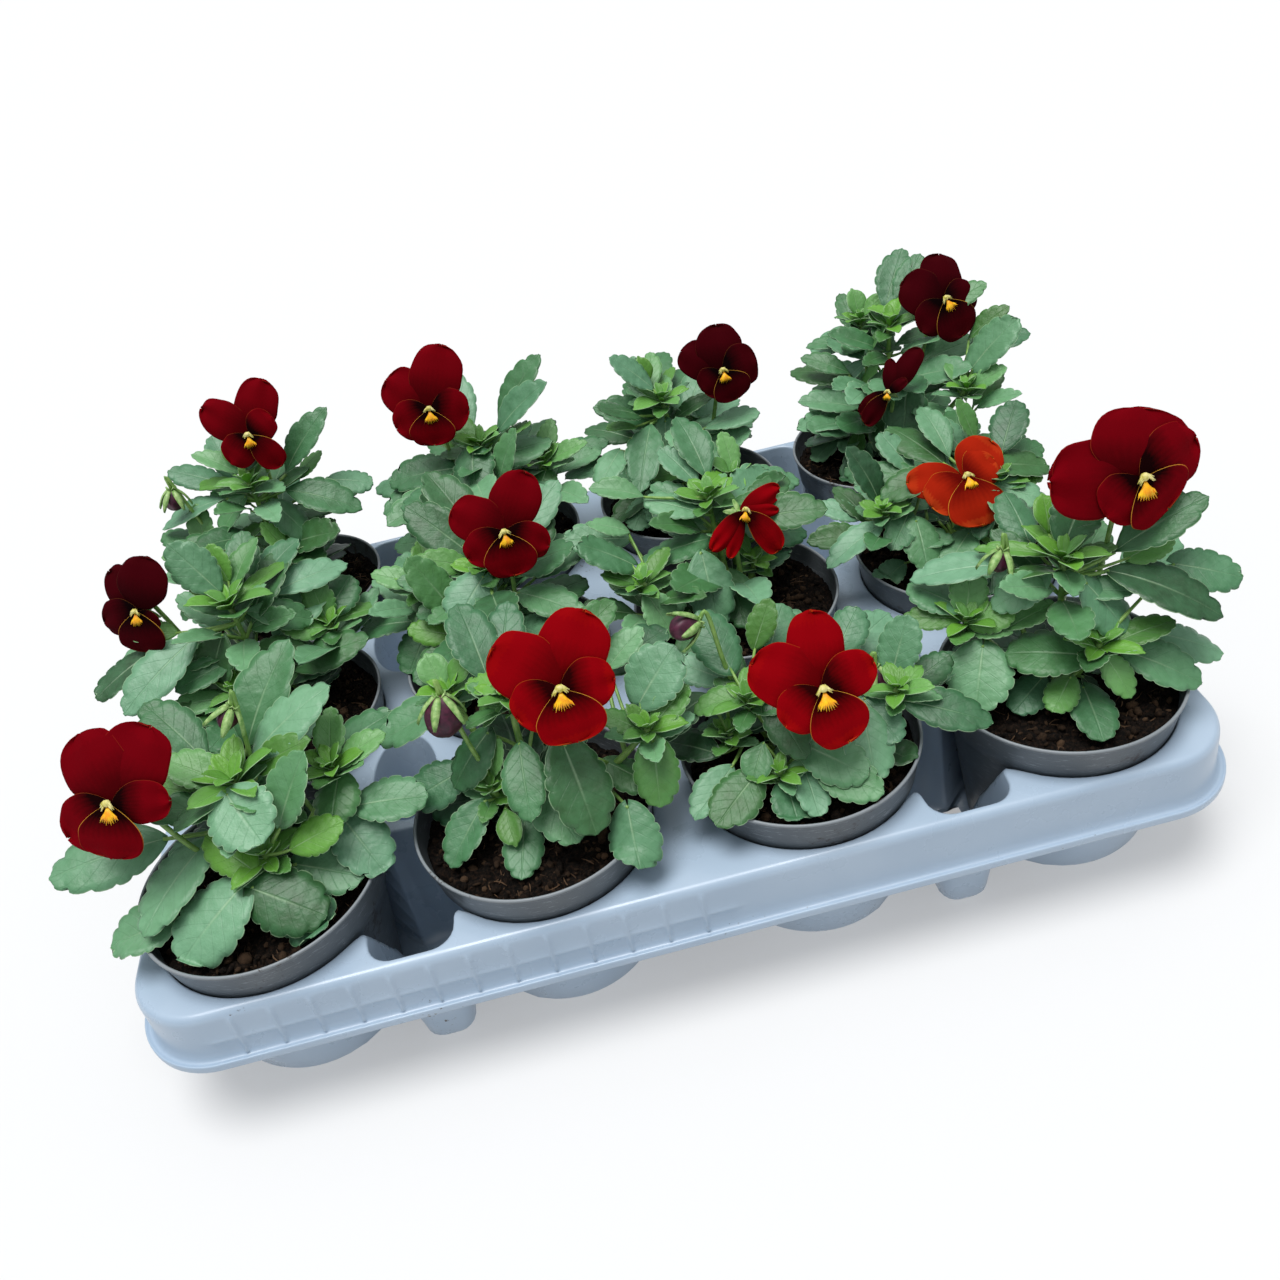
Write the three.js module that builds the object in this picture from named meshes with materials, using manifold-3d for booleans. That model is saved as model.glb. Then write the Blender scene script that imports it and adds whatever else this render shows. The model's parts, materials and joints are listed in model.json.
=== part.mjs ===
// Potted pansies in their planter: a thermoformed carrying tray with twelve round cups, a nursery pot
// in each cup, peat in each pot, and a pansy plant with its leaves, flowers and buds in each.
// Millimetres, +Z up, +X along the tray's length, +Y away from the viewer.
// The origin is the centre of the whole object's bounding box, at the surface that it stands on.
import * as THREE from "three";
import { mergeVertices } from "three/addons/utils/BufferGeometryUtils.js";
import Module from "manifold-3d";

const wasm = await Module();
wasm.setup();

// ---- Driving dimensions ----
const rows = { a: -1, b: 0, c: 1 }; // front, middle, back
const columns = { 1: -1.5, 2: -0.5, 3: 0.5, 4: 1.5 }; // left to right
const pitch = { x: 136, y: 126.2 }; // between pot centres

const pot = {
  height: 96.2,
  rimRadius: 60,
  collarHeight: 21,
  collarRadius: 56.4, // at the collar's lower edge
  ledgeHeight: 2, // over the collar's lower edge, on the inside
  shoulderRadius: 54, // of the body, just under the collar
  footRadius: 43,
  wall: 1.6,
  segments: 20,
};
const soilBelowRim = 9;
const soilDome = 1.5;

const tray = {
  deckHeight: 79,
  sheet: 1.3, // thickness of the formed sheet
  halfLength: 271.5, // at the skirt's foot
  halfWidth: 190,
  cornerRadius: 37,
  cupMouthRadius: 58,
  cupFootRadius: 47.5,
  cupToe: 4, // the rounded toe of a cup, as wide as high
  cupSegments: 20,
};
// The edge of the tray from the lip up to the deck: how far out of the skirt's foot, and how high.
const trayEdge = [
  { out: 5, z: 46.5 },
  { out: 5, z: 50 },
  { out: 2.8, z: 50.4 },
  { out: 1.2, z: 50 },
  { out: 0, z: 53.5 },
  { out: -1.2, z: 75 },
  { out: -2.4, z: 78 },
  { out: -4.6, z: 79 },
];
// Finger slots between the outer cups of the front and back rows, tapering down to a foot.
const slot = {
  x: pitch.x,
  outerEdge: 183,
  innerEdge: 103,
  halfWidth: 20.5,
  footInset: 7.5, // how far the ends draw in at the foot
  footHalfWidth: 11,
  corner: 12,
  footCorner: 6,
  cornerSteps: 3,
};
// The low neck between a slot's foot and the cups beside it, and the opening in two of those floors.
const neck = { length: pitch.x - 20, halfWidth: 13, belowDeck: 10 };
const floorOpening = { fromX: 9, toX: 21, halfWidth: 11 };
// Oval pockets where four cups meet.
const pocket = { x: pitch.x, y: pitch.y / 2, halfWidth: 17.5, halfLength: 33, footScale: 0.5 };

const clearance = 0.35; // between pieces that rest against each other

const plant = {
  crownRadius: 3.2,
  crownHeight: 34,
  leafThickness: 1.4,
  lowLeaves: 6,
  highLeaves: 3,
};
const stem = {
  radius: 1.4,
  sides: 6,
  steps: 5,
  footShare: 0.28, // how far out its foot stands, as a share of how far out its head is
  footLeast: 9, // and never nearer to the pot's axis than this
  upright: 12, // how far it rises before it leans out
  hook: 9, // how far behind the head it turns over
  hookRise: 2,
};
const flowerHead = { outlineSteps: 15, depth: 3, leastRadius: 0.28, notch: 0.28 };
const budSlimness = 0.3; // a bud's radius as a share of its length
const potGuardGap = { foot: 1, mouth: 1.5, drop: 2 }; // room kept round a pot's wall, inside and under it

// Where each plant leans: how far its lower leaves reach and how high its upper ones stand, over the soil.
const plants = {
  a1: { reach: 86, top: 74, turn: 12 },
  a2: { reach: 84, top: 70, turn: 40 },
  a3: { reach: 80, top: 66, turn: 75 },
  a4: { reach: 82, top: 72, turn: 100 },
  b1: { reach: 86, top: 76, turn: 130 },
  b2: { reach: 74, top: 72, turn: 160 },
  b3: { reach: 78, top: 70, turn: 190 },
  b4: { reach: 76, top: 70, turn: 215 },
  c1: { reach: 84, top: 78, turn: 245 },
  c2: { reach: 76, top: 80, turn: 275 },
  c3: { reach: 78, top: 76, turn: 305 },
  c4: { reach: 80, top: 80, turn: 335 },
};

// Flower heads: their centre from the pot's axis (x, y) and over the ground (z), the way that they face
// (azimuth from the viewer's side, positive to the right, and elevation), and their width.
const flowers = {
  a1: { pot: "a1", x: -41, y: 0, z: 163, azimuth: -14, elevation: 34, width: 54, colour: 0x8e0f16 },
  a2: { pot: "a2", x: 29, y: -15, z: 177, azimuth: -2, elevation: 30, width: 58, colour: 0xa61210 },
  a3: { pot: "a3", x: 5, y: -30, z: 152, azimuth: 2, elevation: 34, width: 59, colour: 0xb01a10 },
  a4: { pot: "a4", x: 35, y: 10, z: 194, azimuth: 6, elevation: 24, width: 64, colour: 0x8a0c14 },
  b1: { pot: "b1", x: -46, y: 10, z: 175, azimuth: -20, elevation: 26, width: 46, colour: 0x6d0a18 },
  b2: { pot: "b2", x: 17, y: -10, z: 181, azimuth: 0, elevation: 28, width: 50, colour: 0x9a1014 },
  b3: { pot: "b3", x: 6, y: -15, z: 161, azimuth: 26, elevation: 34, width: 42, colour: 0xa8301a },
  b4: { pot: "b4", x: 0, y: -8, z: 142, azimuth: 4, elevation: 50, width: 52, colour: 0xb43a18 },
  c1: { pot: "c1", x: 11, y: 15, z: 200, azimuth: -6, elevation: 24, width: 50, colour: 0x8c0e14 },
  c2: { pot: "c2", x: -14, y: 10, z: 191, azimuth: -8, elevation: 26, width: 54, colour: 0x960f14 },
  c3: { pot: "c3", x: 33, y: 0, z: 175, azimuth: 0, elevation: 30, width: 49, colour: 0x6a0814 },
  c4: { pot: "c4", x: 42, y: 0, z: 187, azimuth: 10, elevation: 32, width: 52, colour: 0x560812 },
  c4_young: { pot: "c4", x: -10, y: -47, z: 158, azimuth: -36, elevation: 34, width: 32, colour: 0x7a0e16 },
};
// Buds: their middle, given as the flowers' centres are, and their length.
const buds = {
  a1: { pot: "a1", x: 10, y: 30, z: 171, length: 14 },
  a2: { pot: "a2", x: -27, y: 5, z: 161, length: 21 },
  a3_left: { pot: "a3", x: -45, y: 15, z: 169, length: 15 },
  a3_right: { pot: "a3", x: 43, y: 0, z: 121, length: 13 },
  a4: { pot: "a4", x: -27, y: 15, z: 162, length: 11 },
  c1: { pot: "c1", x: -50, y: 14, z: 170, length: 14 },
};

const groundGap = 0.3;
const potFloor = tray.sheet + groundGap; // the height at which the pots stand
const rimHeight = potFloor + pot.height;
const soilTop = rimHeight - soilBelowRim;

const lookOf = {
  tray: { color: 0x9fb0c2, roughness: 0.32, metalness: 0 },
  pot: { color: 0x4a4f54, roughness: 0.45, metalness: 0 },
  soil: { color: 0x35261c, roughness: 0.95, metalness: 0 },
  leaf: { color: 0x5f8a63, roughness: 0.6, metalness: 0 },
  bud: { color: 0x4a1f38, roughness: 0.6, metalness: 0 },
};

// ---- Solids ----
function solidOf(geometry) {
  const bare = geometry.clone();
  bare.deleteAttribute("normal");
  bare.deleteAttribute("uv");
  const merged = mergeVertices(bare, 1e-4);
  return new wasm.Manifold(
    new wasm.Mesh({
      numProp: 3,
      vertProperties: merged.attributes.position.array,
      triVerts: new Uint32Array(merged.index.array),
    }),
  );
}

function meshOf(solid, name, look) {
  const found = solid.getMesh();
  const geometry = new THREE.BufferGeometry();
  geometry.setAttribute("position", new THREE.BufferAttribute(found.vertProperties, 3));
  geometry.setIndex(new THREE.BufferAttribute(found.triVerts, 1));
  geometry.computeVertexNormals();
  const mesh = new THREE.Mesh(geometry, new THREE.MeshStandardMaterial(look));
  mesh.name = name;
  return mesh;
}

const union = (solids) => solids.reduce((whole, piece) => whole.add(piece));

// A cut can part a leaf tip from its plant: the plant is what is left joined to the crown.
const largestOf = (solid) =>
  solid.decompose().reduce((best, body) => (body.volume() > best.volume() ? body : best));

const latheOf = (profile, segments) => {
  const points = profile.map(([r, z]) => new THREE.Vector2(r, z));
  return solidOf(new THREE.LatheGeometry(points, segments).rotateX(Math.PI / 2));
};

// A closed loft through outlines that all have as many points: the first is the lowest.
function loftOf(outlines) {
  const count = outlines[0].length;
  const positions = outlines.flat().flatMap((p) => [p.x, p.y, p.z]);
  const faces = [];
  for (let level = 0; level < outlines.length - 1; level++)
    for (let i = 0; i < count; i++) {
      const a = level * count + i;
      const b = level * count + ((i + 1) % count);
      faces.push(a, b, b + count, a, b + count, a + count);
    }
  const top = (outlines.length - 1) * count;
  for (let i = 1; i < count - 1; i++) {
    faces.push(0, i + 1, i);
    faces.push(top, top + i, top + i + 1);
  }
  const geometry = new THREE.BufferGeometry();
  geometry.setAttribute("position", new THREE.Float32BufferAttribute(positions, 3));
  geometry.setIndex(faces);
  return solidOf(geometry);
}

function roundedOutline(halfX, halfY, radius, z, centre = { x: 0, y: 0 }, cornerSteps = 5) {
  const points = [];
  const corners = [[1, 1], [-1, 1], [-1, -1], [1, -1]];
  corners.forEach(([sideX, sideY], corner) => {
    for (let i = 0; i <= cornerSteps; i++) {
      const angle = ((corner + i / cornerSteps) * Math.PI) / 2;
      const x = centre.x + sideX * (halfX - radius) + radius * Math.cos(angle);
      const y = centre.y + sideY * (halfY - radius) + radius * Math.sin(angle);
      points.push(new THREE.Vector3(x, y, z));
    }
  });
  return points;
}

function ovalOutline(halfX, halfY, z, centre, steps = 16) {
  return Array.from({ length: steps }, (_, i) => {
    const angle = (2 * Math.PI * i) / steps;
    return new THREE.Vector3(
      centre.x + halfX * Math.cos(angle), centre.y + halfY * Math.sin(angle), z);
  });
}

const boxOf = (sizeX, sizeY, sizeZ, x, y, z) =>
  solidOf(new THREE.BoxGeometry(sizeX, sizeY, sizeZ)).translate([x, y, z]);

const potCentre = (name) => ({
  x: columns[name[1]] * pitch.x,
  y: rows[name[0]] * pitch.y,
});

// ---- Tray ----
// The four tapering spaces of the tray are each made twice: the space itself, and the space with the
// sheet's thickness round it. Their difference is the formed wall.
const spaceTop = tray.deckHeight + 6;

function cupSpace(centre, grow) {
  const foot = tray.sheet - grow;
  const toe = tray.cupToe;
  const slope = (tray.cupMouthRadius - tray.cupFootRadius) / tray.deckHeight;
  const above = tray.cupMouthRadius + slope * (spaceTop - tray.deckHeight);
  const profile = [
    [0, foot],
    [tray.cupFootRadius - toe + grow, foot],
    [tray.cupFootRadius + grow, foot + toe],
    [above + grow, spaceTop],
    [0, spaceTop],
  ];
  return latheOf(profile, tray.cupSegments).translate([centre.x, centre.y, 0]);
}

function slotSpace(sideX, sideY, grow) {
  const foot = tray.sheet - grow;
  const centre = { x: sideX * slot.x, y: (sideY * (slot.outerEdge + slot.innerEdge)) / 2 };
  const halfY = (slot.outerEdge - slot.innerEdge) / 2;
  const outline = (halfX, insetY, radius, z) =>
    roundedOutline(halfX + grow, halfY - insetY + grow, radius, z, centre, slot.cornerSteps);
  return loftOf([
    outline(slot.footHalfWidth, slot.footInset, slot.footCorner, foot),
    outline(slot.halfWidth, 0, slot.corner, tray.deckHeight),
    outline(slot.halfWidth, 0, slot.corner, spaceTop),
  ]);
}

function neckSpace(sideX, sideY, grow) {
  const foot = tray.sheet - grow;
  const height = tray.deckHeight - neck.belowDeck - foot;
  return boxOf(neck.length, 2 * (neck.halfWidth + grow), height,
    sideX * slot.x, sideY * pitch.y, foot + height / 2);
}

function pocketSpace(sideX, sideY, grow) {
  const foot = tray.sheet - grow;
  const centre = { x: sideX * pocket.x, y: sideY * pocket.y };
  const low = pocket.footScale;
  return loftOf([
    ovalOutline(pocket.halfWidth * low + grow, pocket.halfLength * low + grow, foot, centre),
    ovalOutline(pocket.halfWidth + grow, pocket.halfLength + grow, tray.deckHeight, centre),
    ovalOutline(pocket.halfWidth + grow, pocket.halfLength + grow, spaceTop, centre),
  ]);
}

function traySpaces(grow) {
  const spaces = Object.keys(plants).map((name) => cupSpace(potCentre(name), grow));
  for (const sideX of [-1, 1])
    for (const sideY of [-1, 1]) {
      spaces.push(slotSpace(sideX, sideY, grow));
      spaces.push(neckSpace(sideX, sideY, grow));
      spaces.push(pocketSpace(sideX, sideY, grow));
    }
  return union(spaces);
}

// The outside of the tray's edge, or its inside when it is drawn in by the sheet's thickness.
function edgeSolid(shrink) {
  const { halfLength, halfWidth, cornerRadius } = tray;
  const levels = trayEdge.map(({ out, z }) =>
    roundedOutline(halfLength + out - shrink, halfWidth + out - shrink,
      cornerRadius + out - shrink, z - shrink));
  return loftOf(levels);
}

function makeTray() {
  const shell = edgeSolid(0).subtract(edgeSolid(tray.sheet));
  const below = boxOf(700, 500, 100, 0, 0, tray.deckHeight - 50);
  const walls = traySpaces(tray.sheet).intersect(below);
  // Each opening is the other turned half round the tray's middle, so the tray fits either way round.
  const openingX = slot.x + (floorOpening.fromX + floorOpening.toX) / 2;
  const openings = [[1, -1], [-1, 1]].map(([sideX, sideY]) =>
    boxOf(floorOpening.toX - floorOpening.fromX, 2 * floorOpening.halfWidth, 10,
      sideX * openingX, sideY * pitch.y, 0));
  return shell.add(walls).subtract(traySpaces(0)).subtract(union(openings));
}

// ---- Pot and soil ----
const collarBottom = rimHeight - pot.collarHeight;
const potInside = pot.rimRadius - pot.wall;
const ledge = collarBottom + pot.ledgeHeight; // where the collar's inside starts

// The radius of the collar's inside at a height over the ledge.
const collarInside = (z) => pot.collarRadius - pot.wall +
  ((z - ledge) / (rimHeight - ledge)) * (pot.rimRadius - pot.collarRadius);

function makePot(centre) {
  const profile = [
    [0, potFloor],
    [pot.footRadius, potFloor],
    [pot.shoulderRadius, collarBottom],
    [pot.collarRadius, collarBottom],
    [pot.rimRadius, rimHeight],
    [potInside, rimHeight],
    [collarInside(ledge), ledge],
    [pot.shoulderRadius - pot.wall, collarBottom],
    [pot.footRadius - pot.wall, potFloor + pot.wall],
    [0, potFloor + pot.wall],
  ];
  return latheOf(profile, pot.segments).translate([centre.x, centre.y, 0]);
}

function makeSoil(centre) {
  const low = potFloor + pot.wall + clearance;
  const gap = pot.wall + clearance;
  const edge = collarInside(soilTop - soilDome) - clearance;
  const profile = [
    [0, low],
    [pot.footRadius - gap, low],
    [pot.shoulderRadius - gap, collarBottom],
    [edge, soilTop - soilDome],
    [0, soilTop],
  ];
  return latheOf(profile, pot.segments).translate([centre.x, centre.y, 0]);
}

// What stands over a pot keeps this far from its wall.
function potGuard(centre) {
  const footRadius = pot.shoulderRadius - pot.wall - potGuardGap.foot;
  const low = collarBottom - potGuardGap.drop;
  const profile = [
    [footRadius, low],
    [pot.rimRadius + clearance, low],
    [pot.rimRadius + clearance, rimHeight + clearance],
    [potInside - clearance - potGuardGap.mouth, rimHeight + clearance],
    [footRadius, low],
  ];
  return latheOf(profile, pot.segments).translate([centre.x, centre.y, 0]);
}

// ---- Plants ----
// A leaf with its stalk, drawn along +X from the origin, then bent so that its tip bows down.
function leafPlate(length, width, bow, grow) {
  const half = width / 2 + grow;
  const stalk = 1.6 + grow;
  const outline = [
    [0, -stalk], [0.42 * length, -stalk], [0.72 * length, -half], [length + grow, -0.3 * half],
    [length + grow, 0.3 * half], [0.72 * length, half], [0.42 * length, stalk], [0, stalk],
  ];
  const shape = new THREE.Shape(outline.map(([x, y]) => new THREE.Vector2(x, y)));
  const depth = plant.leafThickness + 2 * grow;
  const geometry = new THREE.ExtrudeGeometry(shape, { depth, bevelEnabled: false });
  geometry.translate(0, 0, -depth / 2);
  const position = geometry.attributes.position;
  for (let i = 0; i < position.count; i++) {
    const along = position.getX(i) / length;
    position.setZ(i, position.getZ(i) - bow * along * along);
  }
  return geometry;
}

function placedLeaf(leaf, centre, grow) {
  const geometry = leafPlate(leaf.length, leaf.width, leaf.bow, grow);
  geometry.rotateY(-THREE.MathUtils.degToRad(leaf.rise));
  geometry.rotateZ(THREE.MathUtils.degToRad(leaf.azimuth));
  geometry.translate(centre.x, centre.y, soilTop + leaf.height);
  return solidOf(geometry);
}

// The lower leaves lie out over the rim, and the upper ones stand up from the crown.
function leavesOf({ reach, top, turn }) {
  const leaves = [];
  for (let i = 0; i < plant.lowLeaves; i++) {
    const swing = i % 2 ? 0.88 : 1;
    leaves.push({
      azimuth: turn + (i * 360) / plant.lowLeaves, height: 12 + 5 * (i % 3),
      length: reach * swing, width: 38, rise: 20, bow: 22,
    });
  }
  for (let i = 0; i < plant.highLeaves; i++)
    leaves.push({
      azimuth: turn + 45 + (i * 360) / plant.highLeaves, height: 22,
      length: top, width: 30, rise: 55 + 6 * (i % 2), bow: 8,
    });
  return leaves;
}

function crownOf(centre, grow) {
  const radius = plant.crownRadius + grow;
  const profile = [
    [0, soilTop + clearance - grow],
    [radius + 1, soilTop + clearance - grow],
    [radius, soilTop + plant.crownHeight + grow],
    [0, soilTop + plant.crownHeight + grow],
  ];
  return latheOf(profile, 8).translate([centre.x, centre.y, 0]);
}

function foliageOf(name, grow) {
  const centre = potCentre(name);
  const leaves = leavesOf(plants[name]).map((leaf) => placedLeaf(leaf, centre, grow));
  return union([crownOf(centre, grow), ...leaves]);
}

// ---- Flowers and buds ----
// A stem rises from beside the crown, leans out, and hooks over behind the head that it carries.
function stemOf(centre, head, back, grow) {
  const foot = new THREE.Vector3(centre.x + stem.footShare * (head.x - centre.x),
    centre.y + stem.footShare * (head.y - centre.y), soilTop + clearance - grow);
  const away = new THREE.Vector2(head.x - centre.x, head.y - centre.y);
  if (away.length() * stem.footShare < stem.footLeast) {
    away.setLength(stem.footLeast);
    foot.x = centre.x + away.x;
    foot.y = centre.y + away.y;
  }
  const hook = head.clone().addScaledVector(back, stem.hook);
  const route = new THREE.CatmullRomCurve3([
    foot,
    new THREE.Vector3(foot.x, foot.y, foot.z + stem.upright),
    foot.clone().lerp(hook, 0.55),
    hook.clone().add(new THREE.Vector3(0, 0, stem.hookRise)),
    head.clone().addScaledVector(back, 1),
  ]);
  const shape = new THREE.Shape();
  shape.absarc(0, 0, stem.radius + grow, 0, 2 * Math.PI);
  return solidOf(new THREE.ExtrudeGeometry(shape, {
    steps: stem.steps, curveSegments: stem.sides / 2, extrudePath: route,
  }));
}

// Five petals in outline: two above, one to each side, and the broad lip below.
const petals = [
  { angle: 62, reach: 0.5, spread: 44 },
  { angle: 118, reach: 0.5, spread: 44 },
  { angle: 184, reach: 0.47, spread: 38 },
  { angle: 270, reach: 0.5, spread: 50 },
  { angle: -4, reach: 0.47, spread: 38 },
];

function headOf(flower, grow) {
  const { outlineSteps, leastRadius, notch } = flowerHead;
  const points = Array.from({ length: outlineSteps }, (_, i) => {
    const angle = (360 * i) / outlineSteps;
    const reach = petals.map((petal) => {
      const off = Math.abs(((angle - petal.angle + 540) % 360) - 180) / petal.spread;
      return petal.reach * (1 - notch * off * off);
    });
    const radius = flower.width * Math.max(leastRadius, ...reach) + grow;
    const turn = THREE.MathUtils.degToRad(angle);
    return new THREE.Vector2(radius * Math.cos(turn), radius * Math.sin(turn));
  });
  const depth = flowerHead.depth + 2 * grow;
  const geometry = new THREE.ExtrudeGeometry(new THREE.Shape(points), {
    depth, bevelEnabled: false,
  });
  return geometry.translate(0, 0, -depth / 2);
}

function facing({ azimuth, elevation }) {
  const turn = THREE.MathUtils.degToRad(azimuth);
  const rise = THREE.MathUtils.degToRad(elevation);
  return new THREE.Vector3(
    Math.sin(turn) * Math.cos(rise), -Math.cos(turn) * Math.cos(rise), Math.sin(rise));
}

function flowerOf(flower, grow) {
  const centre = potCentre(flower.pot);
  const head = new THREE.Vector3(centre.x + flower.x, centre.y + flower.y, flower.z);
  const forward = facing(flower);
  const across = new THREE.Vector3(-forward.y, forward.x, 0).normalize();
  const up = new THREE.Vector3().crossVectors(forward, across);
  const place = new THREE.Matrix4().makeBasis(across, up, forward).setPosition(head);
  const plate = solidOf(headOf(flower, grow).applyMatrix4(place));
  return plate.add(stemOf(centre, head, forward.clone().negate(), grow));
}

function budOf(bud, grow) {
  const centre = potCentre(bud.pot);
  const middle = new THREE.Vector3(centre.x + bud.x, centre.y + bud.y, bud.z);
  const radius = bud.length * budSlimness + grow;
  const body = new THREE.IcosahedronGeometry(1, 1);
  body.scale(radius, radius, bud.length / 2 + grow).translate(middle.x, middle.y, middle.z);
  const outwards = new THREE.Vector3(-bud.x, -bud.y, 0).normalize().multiplyScalar(0.5);
  return solidOf(body).add(stemOf(centre, middle, outwards.setZ(0.7), grow));
}

// ---- The whole object ----
const parts = new THREE.Group();
const add = (solid, name, look) => parts.add(meshOf(solid, name, look));

add(makeTray(), "tray", lookOf.tray);
for (const name of Object.keys(plants)) {
  add(makePot(potCentre(name)), `pot_${name}`, lookOf.pot);
  add(makeSoil(potCentre(name)), `soil_${name}`, lookOf.soil);
}

// Each piece is cut back from the ones before it, so that petals win over buds and buds over leaves.
const guards = Object.keys(plants).map((name) => potGuard(potCentre(name)));
function addGrown(name, look, make) {
  const free = guards.reduce((left, guard) => left.subtract(guard), make(0));
  add(largestOf(free), name, look);
  guards.push(make(clearance));
}
for (const [name, flower] of Object.entries(flowers))
  addGrown(`flower_${name}`, { color: flower.colour, roughness: 0.7, metalness: 0 },
    (grow) => flowerOf(flower, grow));
for (const [name, bud] of Object.entries(buds))
  addGrown(`bud_${name}`, lookOf.bud, (grow) => budOf(bud, grow));
for (const name of Object.keys(plants))
  addGrown(`foliage_${name}`, lookOf.leaf, (grow) => foliageOf(name, grow));

// The whole object moves so that the middle of its bounding box's base is the origin.
const bounds = new THREE.Box3().setFromObject(parts);
parts.position.set(
  -(bounds.min.x + bounds.max.x) / 2, -(bounds.min.y + bounds.max.y) / 2, -bounds.min.z);

const planter = new THREE.Group();
planter.add(parts);
export default planter;
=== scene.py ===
"""Looks of the potted pansy planter: a formed carrying tray, nursery pots, peat, and twelve pansies."""
import json
import math
import random

import bmesh
import bpy
import numpy as np
from mathutils import Matrix, Vector, noise

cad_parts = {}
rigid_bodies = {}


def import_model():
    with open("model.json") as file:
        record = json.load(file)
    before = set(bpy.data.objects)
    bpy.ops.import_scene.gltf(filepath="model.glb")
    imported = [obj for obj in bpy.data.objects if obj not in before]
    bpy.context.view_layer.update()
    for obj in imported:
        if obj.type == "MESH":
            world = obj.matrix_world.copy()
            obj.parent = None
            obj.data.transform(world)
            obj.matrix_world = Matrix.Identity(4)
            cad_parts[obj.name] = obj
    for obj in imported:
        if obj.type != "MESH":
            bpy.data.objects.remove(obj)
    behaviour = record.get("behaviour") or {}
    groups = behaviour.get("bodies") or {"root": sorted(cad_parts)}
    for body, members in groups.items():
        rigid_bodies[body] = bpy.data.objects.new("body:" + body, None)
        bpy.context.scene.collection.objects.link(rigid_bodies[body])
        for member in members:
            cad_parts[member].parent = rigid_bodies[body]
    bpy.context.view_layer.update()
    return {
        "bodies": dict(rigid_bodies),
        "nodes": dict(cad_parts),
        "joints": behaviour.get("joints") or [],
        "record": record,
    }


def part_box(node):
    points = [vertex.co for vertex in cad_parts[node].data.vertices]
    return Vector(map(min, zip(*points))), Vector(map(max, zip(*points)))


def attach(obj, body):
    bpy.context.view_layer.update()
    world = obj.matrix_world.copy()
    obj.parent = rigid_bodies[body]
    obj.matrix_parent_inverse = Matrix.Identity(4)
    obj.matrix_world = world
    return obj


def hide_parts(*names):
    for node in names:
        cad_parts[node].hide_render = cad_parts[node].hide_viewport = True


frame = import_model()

# ---------------------------------------------------------------- Layout
# Everything is modelled in millimetres from the tray's middle at the ground, and placed once, by PLACE.
MM = 0.001
ROWS = {"a": -1, "b": 0, "c": 1}          # front, middle, back
COLUMNS = {"1": -1.5, "2": -0.5, "3": 0.5, "4": 1.5}
PLACES = [row + column for row in ROWS for column in COLUMNS]
PITCH_X, PITCH_Y = 136.0, 126.2

tray_low, tray_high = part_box("tray")
pot_low, pot_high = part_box("pot_a1")
PLACE = Matrix.Translation(((tray_low.x + tray_high.x) / 2, (tray_low.y + tray_high.y) / 2, 0)) \
    @ Matrix.Scale(MM, 4)
DECK = tray_high.z / MM                   # 79 mm
RIM = pot_high.z / MM                     # 97.8 mm
POT_FLOOR = pot_low.z / MM
SOIL = RIM - 9.0


def pot_centre(place):
    return Vector((COLUMNS[place[1]] * PITCH_X, ROWS[place[0]] * PITCH_Y, 0))


POT_CENTRES = [pot_centre(place) for place in PLACES]

# Pot, centre from the pot's axis (x, y) and over the ground (z), the way it faces (azimuth to the right of
# the viewer's side, elevation), its turn in its own plane, width, and colour.
FLOWERS = {
    "a1": ("a1", (-41, 0, 163), -14, 34, 0, 54, "petal_red"),
    "a2": ("a2", (29, -15, 177), -2, 30, 0, 58, "petal_bright_red"),
    "a3": ("a3", (5, -30, 152), 2, 34, 0, 59, "petal_bright_red"),
    "a4": ("a4", (35, 10, 194), 6, 24, 0, 64, "petal_red"),
    "b1": ("b1", (-46, 10, 175), -20, 26, 0, 46, "petal_maroon"),
    "b2": ("b2", (17, -10, 181), 0, 28, 0, 50, "petal_red"),
    "b3": ("b3", (6, -15, 161), 26, 34, -34, 42, "petal_bright_red"),
    "b4": ("b4", (0, -8, 142), 4, 50, 0, 52, "petal_orange_red"),
    "c1": ("c1", (11, 15, 200), -6, 24, 0, 50, "petal_red"),
    "c2": ("c2", (-14, 10, 191), -8, 26, 0, 54, "petal_red"),
    "c3": ("c3", (33, 0, 175), 0, 30, 0, 49, "petal_maroon"),
    "c4": ("c4", (42, 0, 187), 10, 32, 16, 52, "petal_maroon"),
    "c4_young": ("c4", (-10, -47, 158), -36, 34, 0, 32, "petal_maroon"),
}
# The photograph's camera, solved from ten of the twelve rims: place from the tray's middle at rim height.
CAMERA_FROM_RIMS = Vector((-22.3, -520.8, 392.9))
CAMERA_AZIMUTH, CAMERA_ELEVATION, CAMERA_ROLL = -3.30, 38.17, -11.96
CAMERA_LENS, SENSOR_WIDTH = 31.49, 36     # in millimetres, for a square picture


# ---------------------------------------------------------------- Materials
def linear(colour):
    """An sRGB hex value such as "9fb0c2" as linear RGBA."""
    parts = [int(colour[i:i + 2], 16) / 255 for i in (0, 2, 4)]
    return [c / 12.92 if c <= 0.04045 else ((c + 0.055) / 1.055) ** 2.4 for c in parts] + [1.0]


def add_node(tree, kind, inputs=None, stops=None, **settings):
    """Adds a node, sets it up, and fills or links its inputs by name or number."""
    made = tree.nodes.new(kind)
    for name, value in settings.items():
        setattr(made, name, value)
    for key, value in (inputs or {}).items():
        if isinstance(value, bpy.types.NodeSocket):
            tree.links.new(value, made.inputs[key])
        else:
            made.inputs[key].default_value = value
    for number, (position, colour) in enumerate(stops or ()):
        ramp = made.color_ramp.elements
        stop = ramp[number] if number < 2 else ramp.new(position)
        stop.position, stop.color = position, colour
    return made


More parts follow.
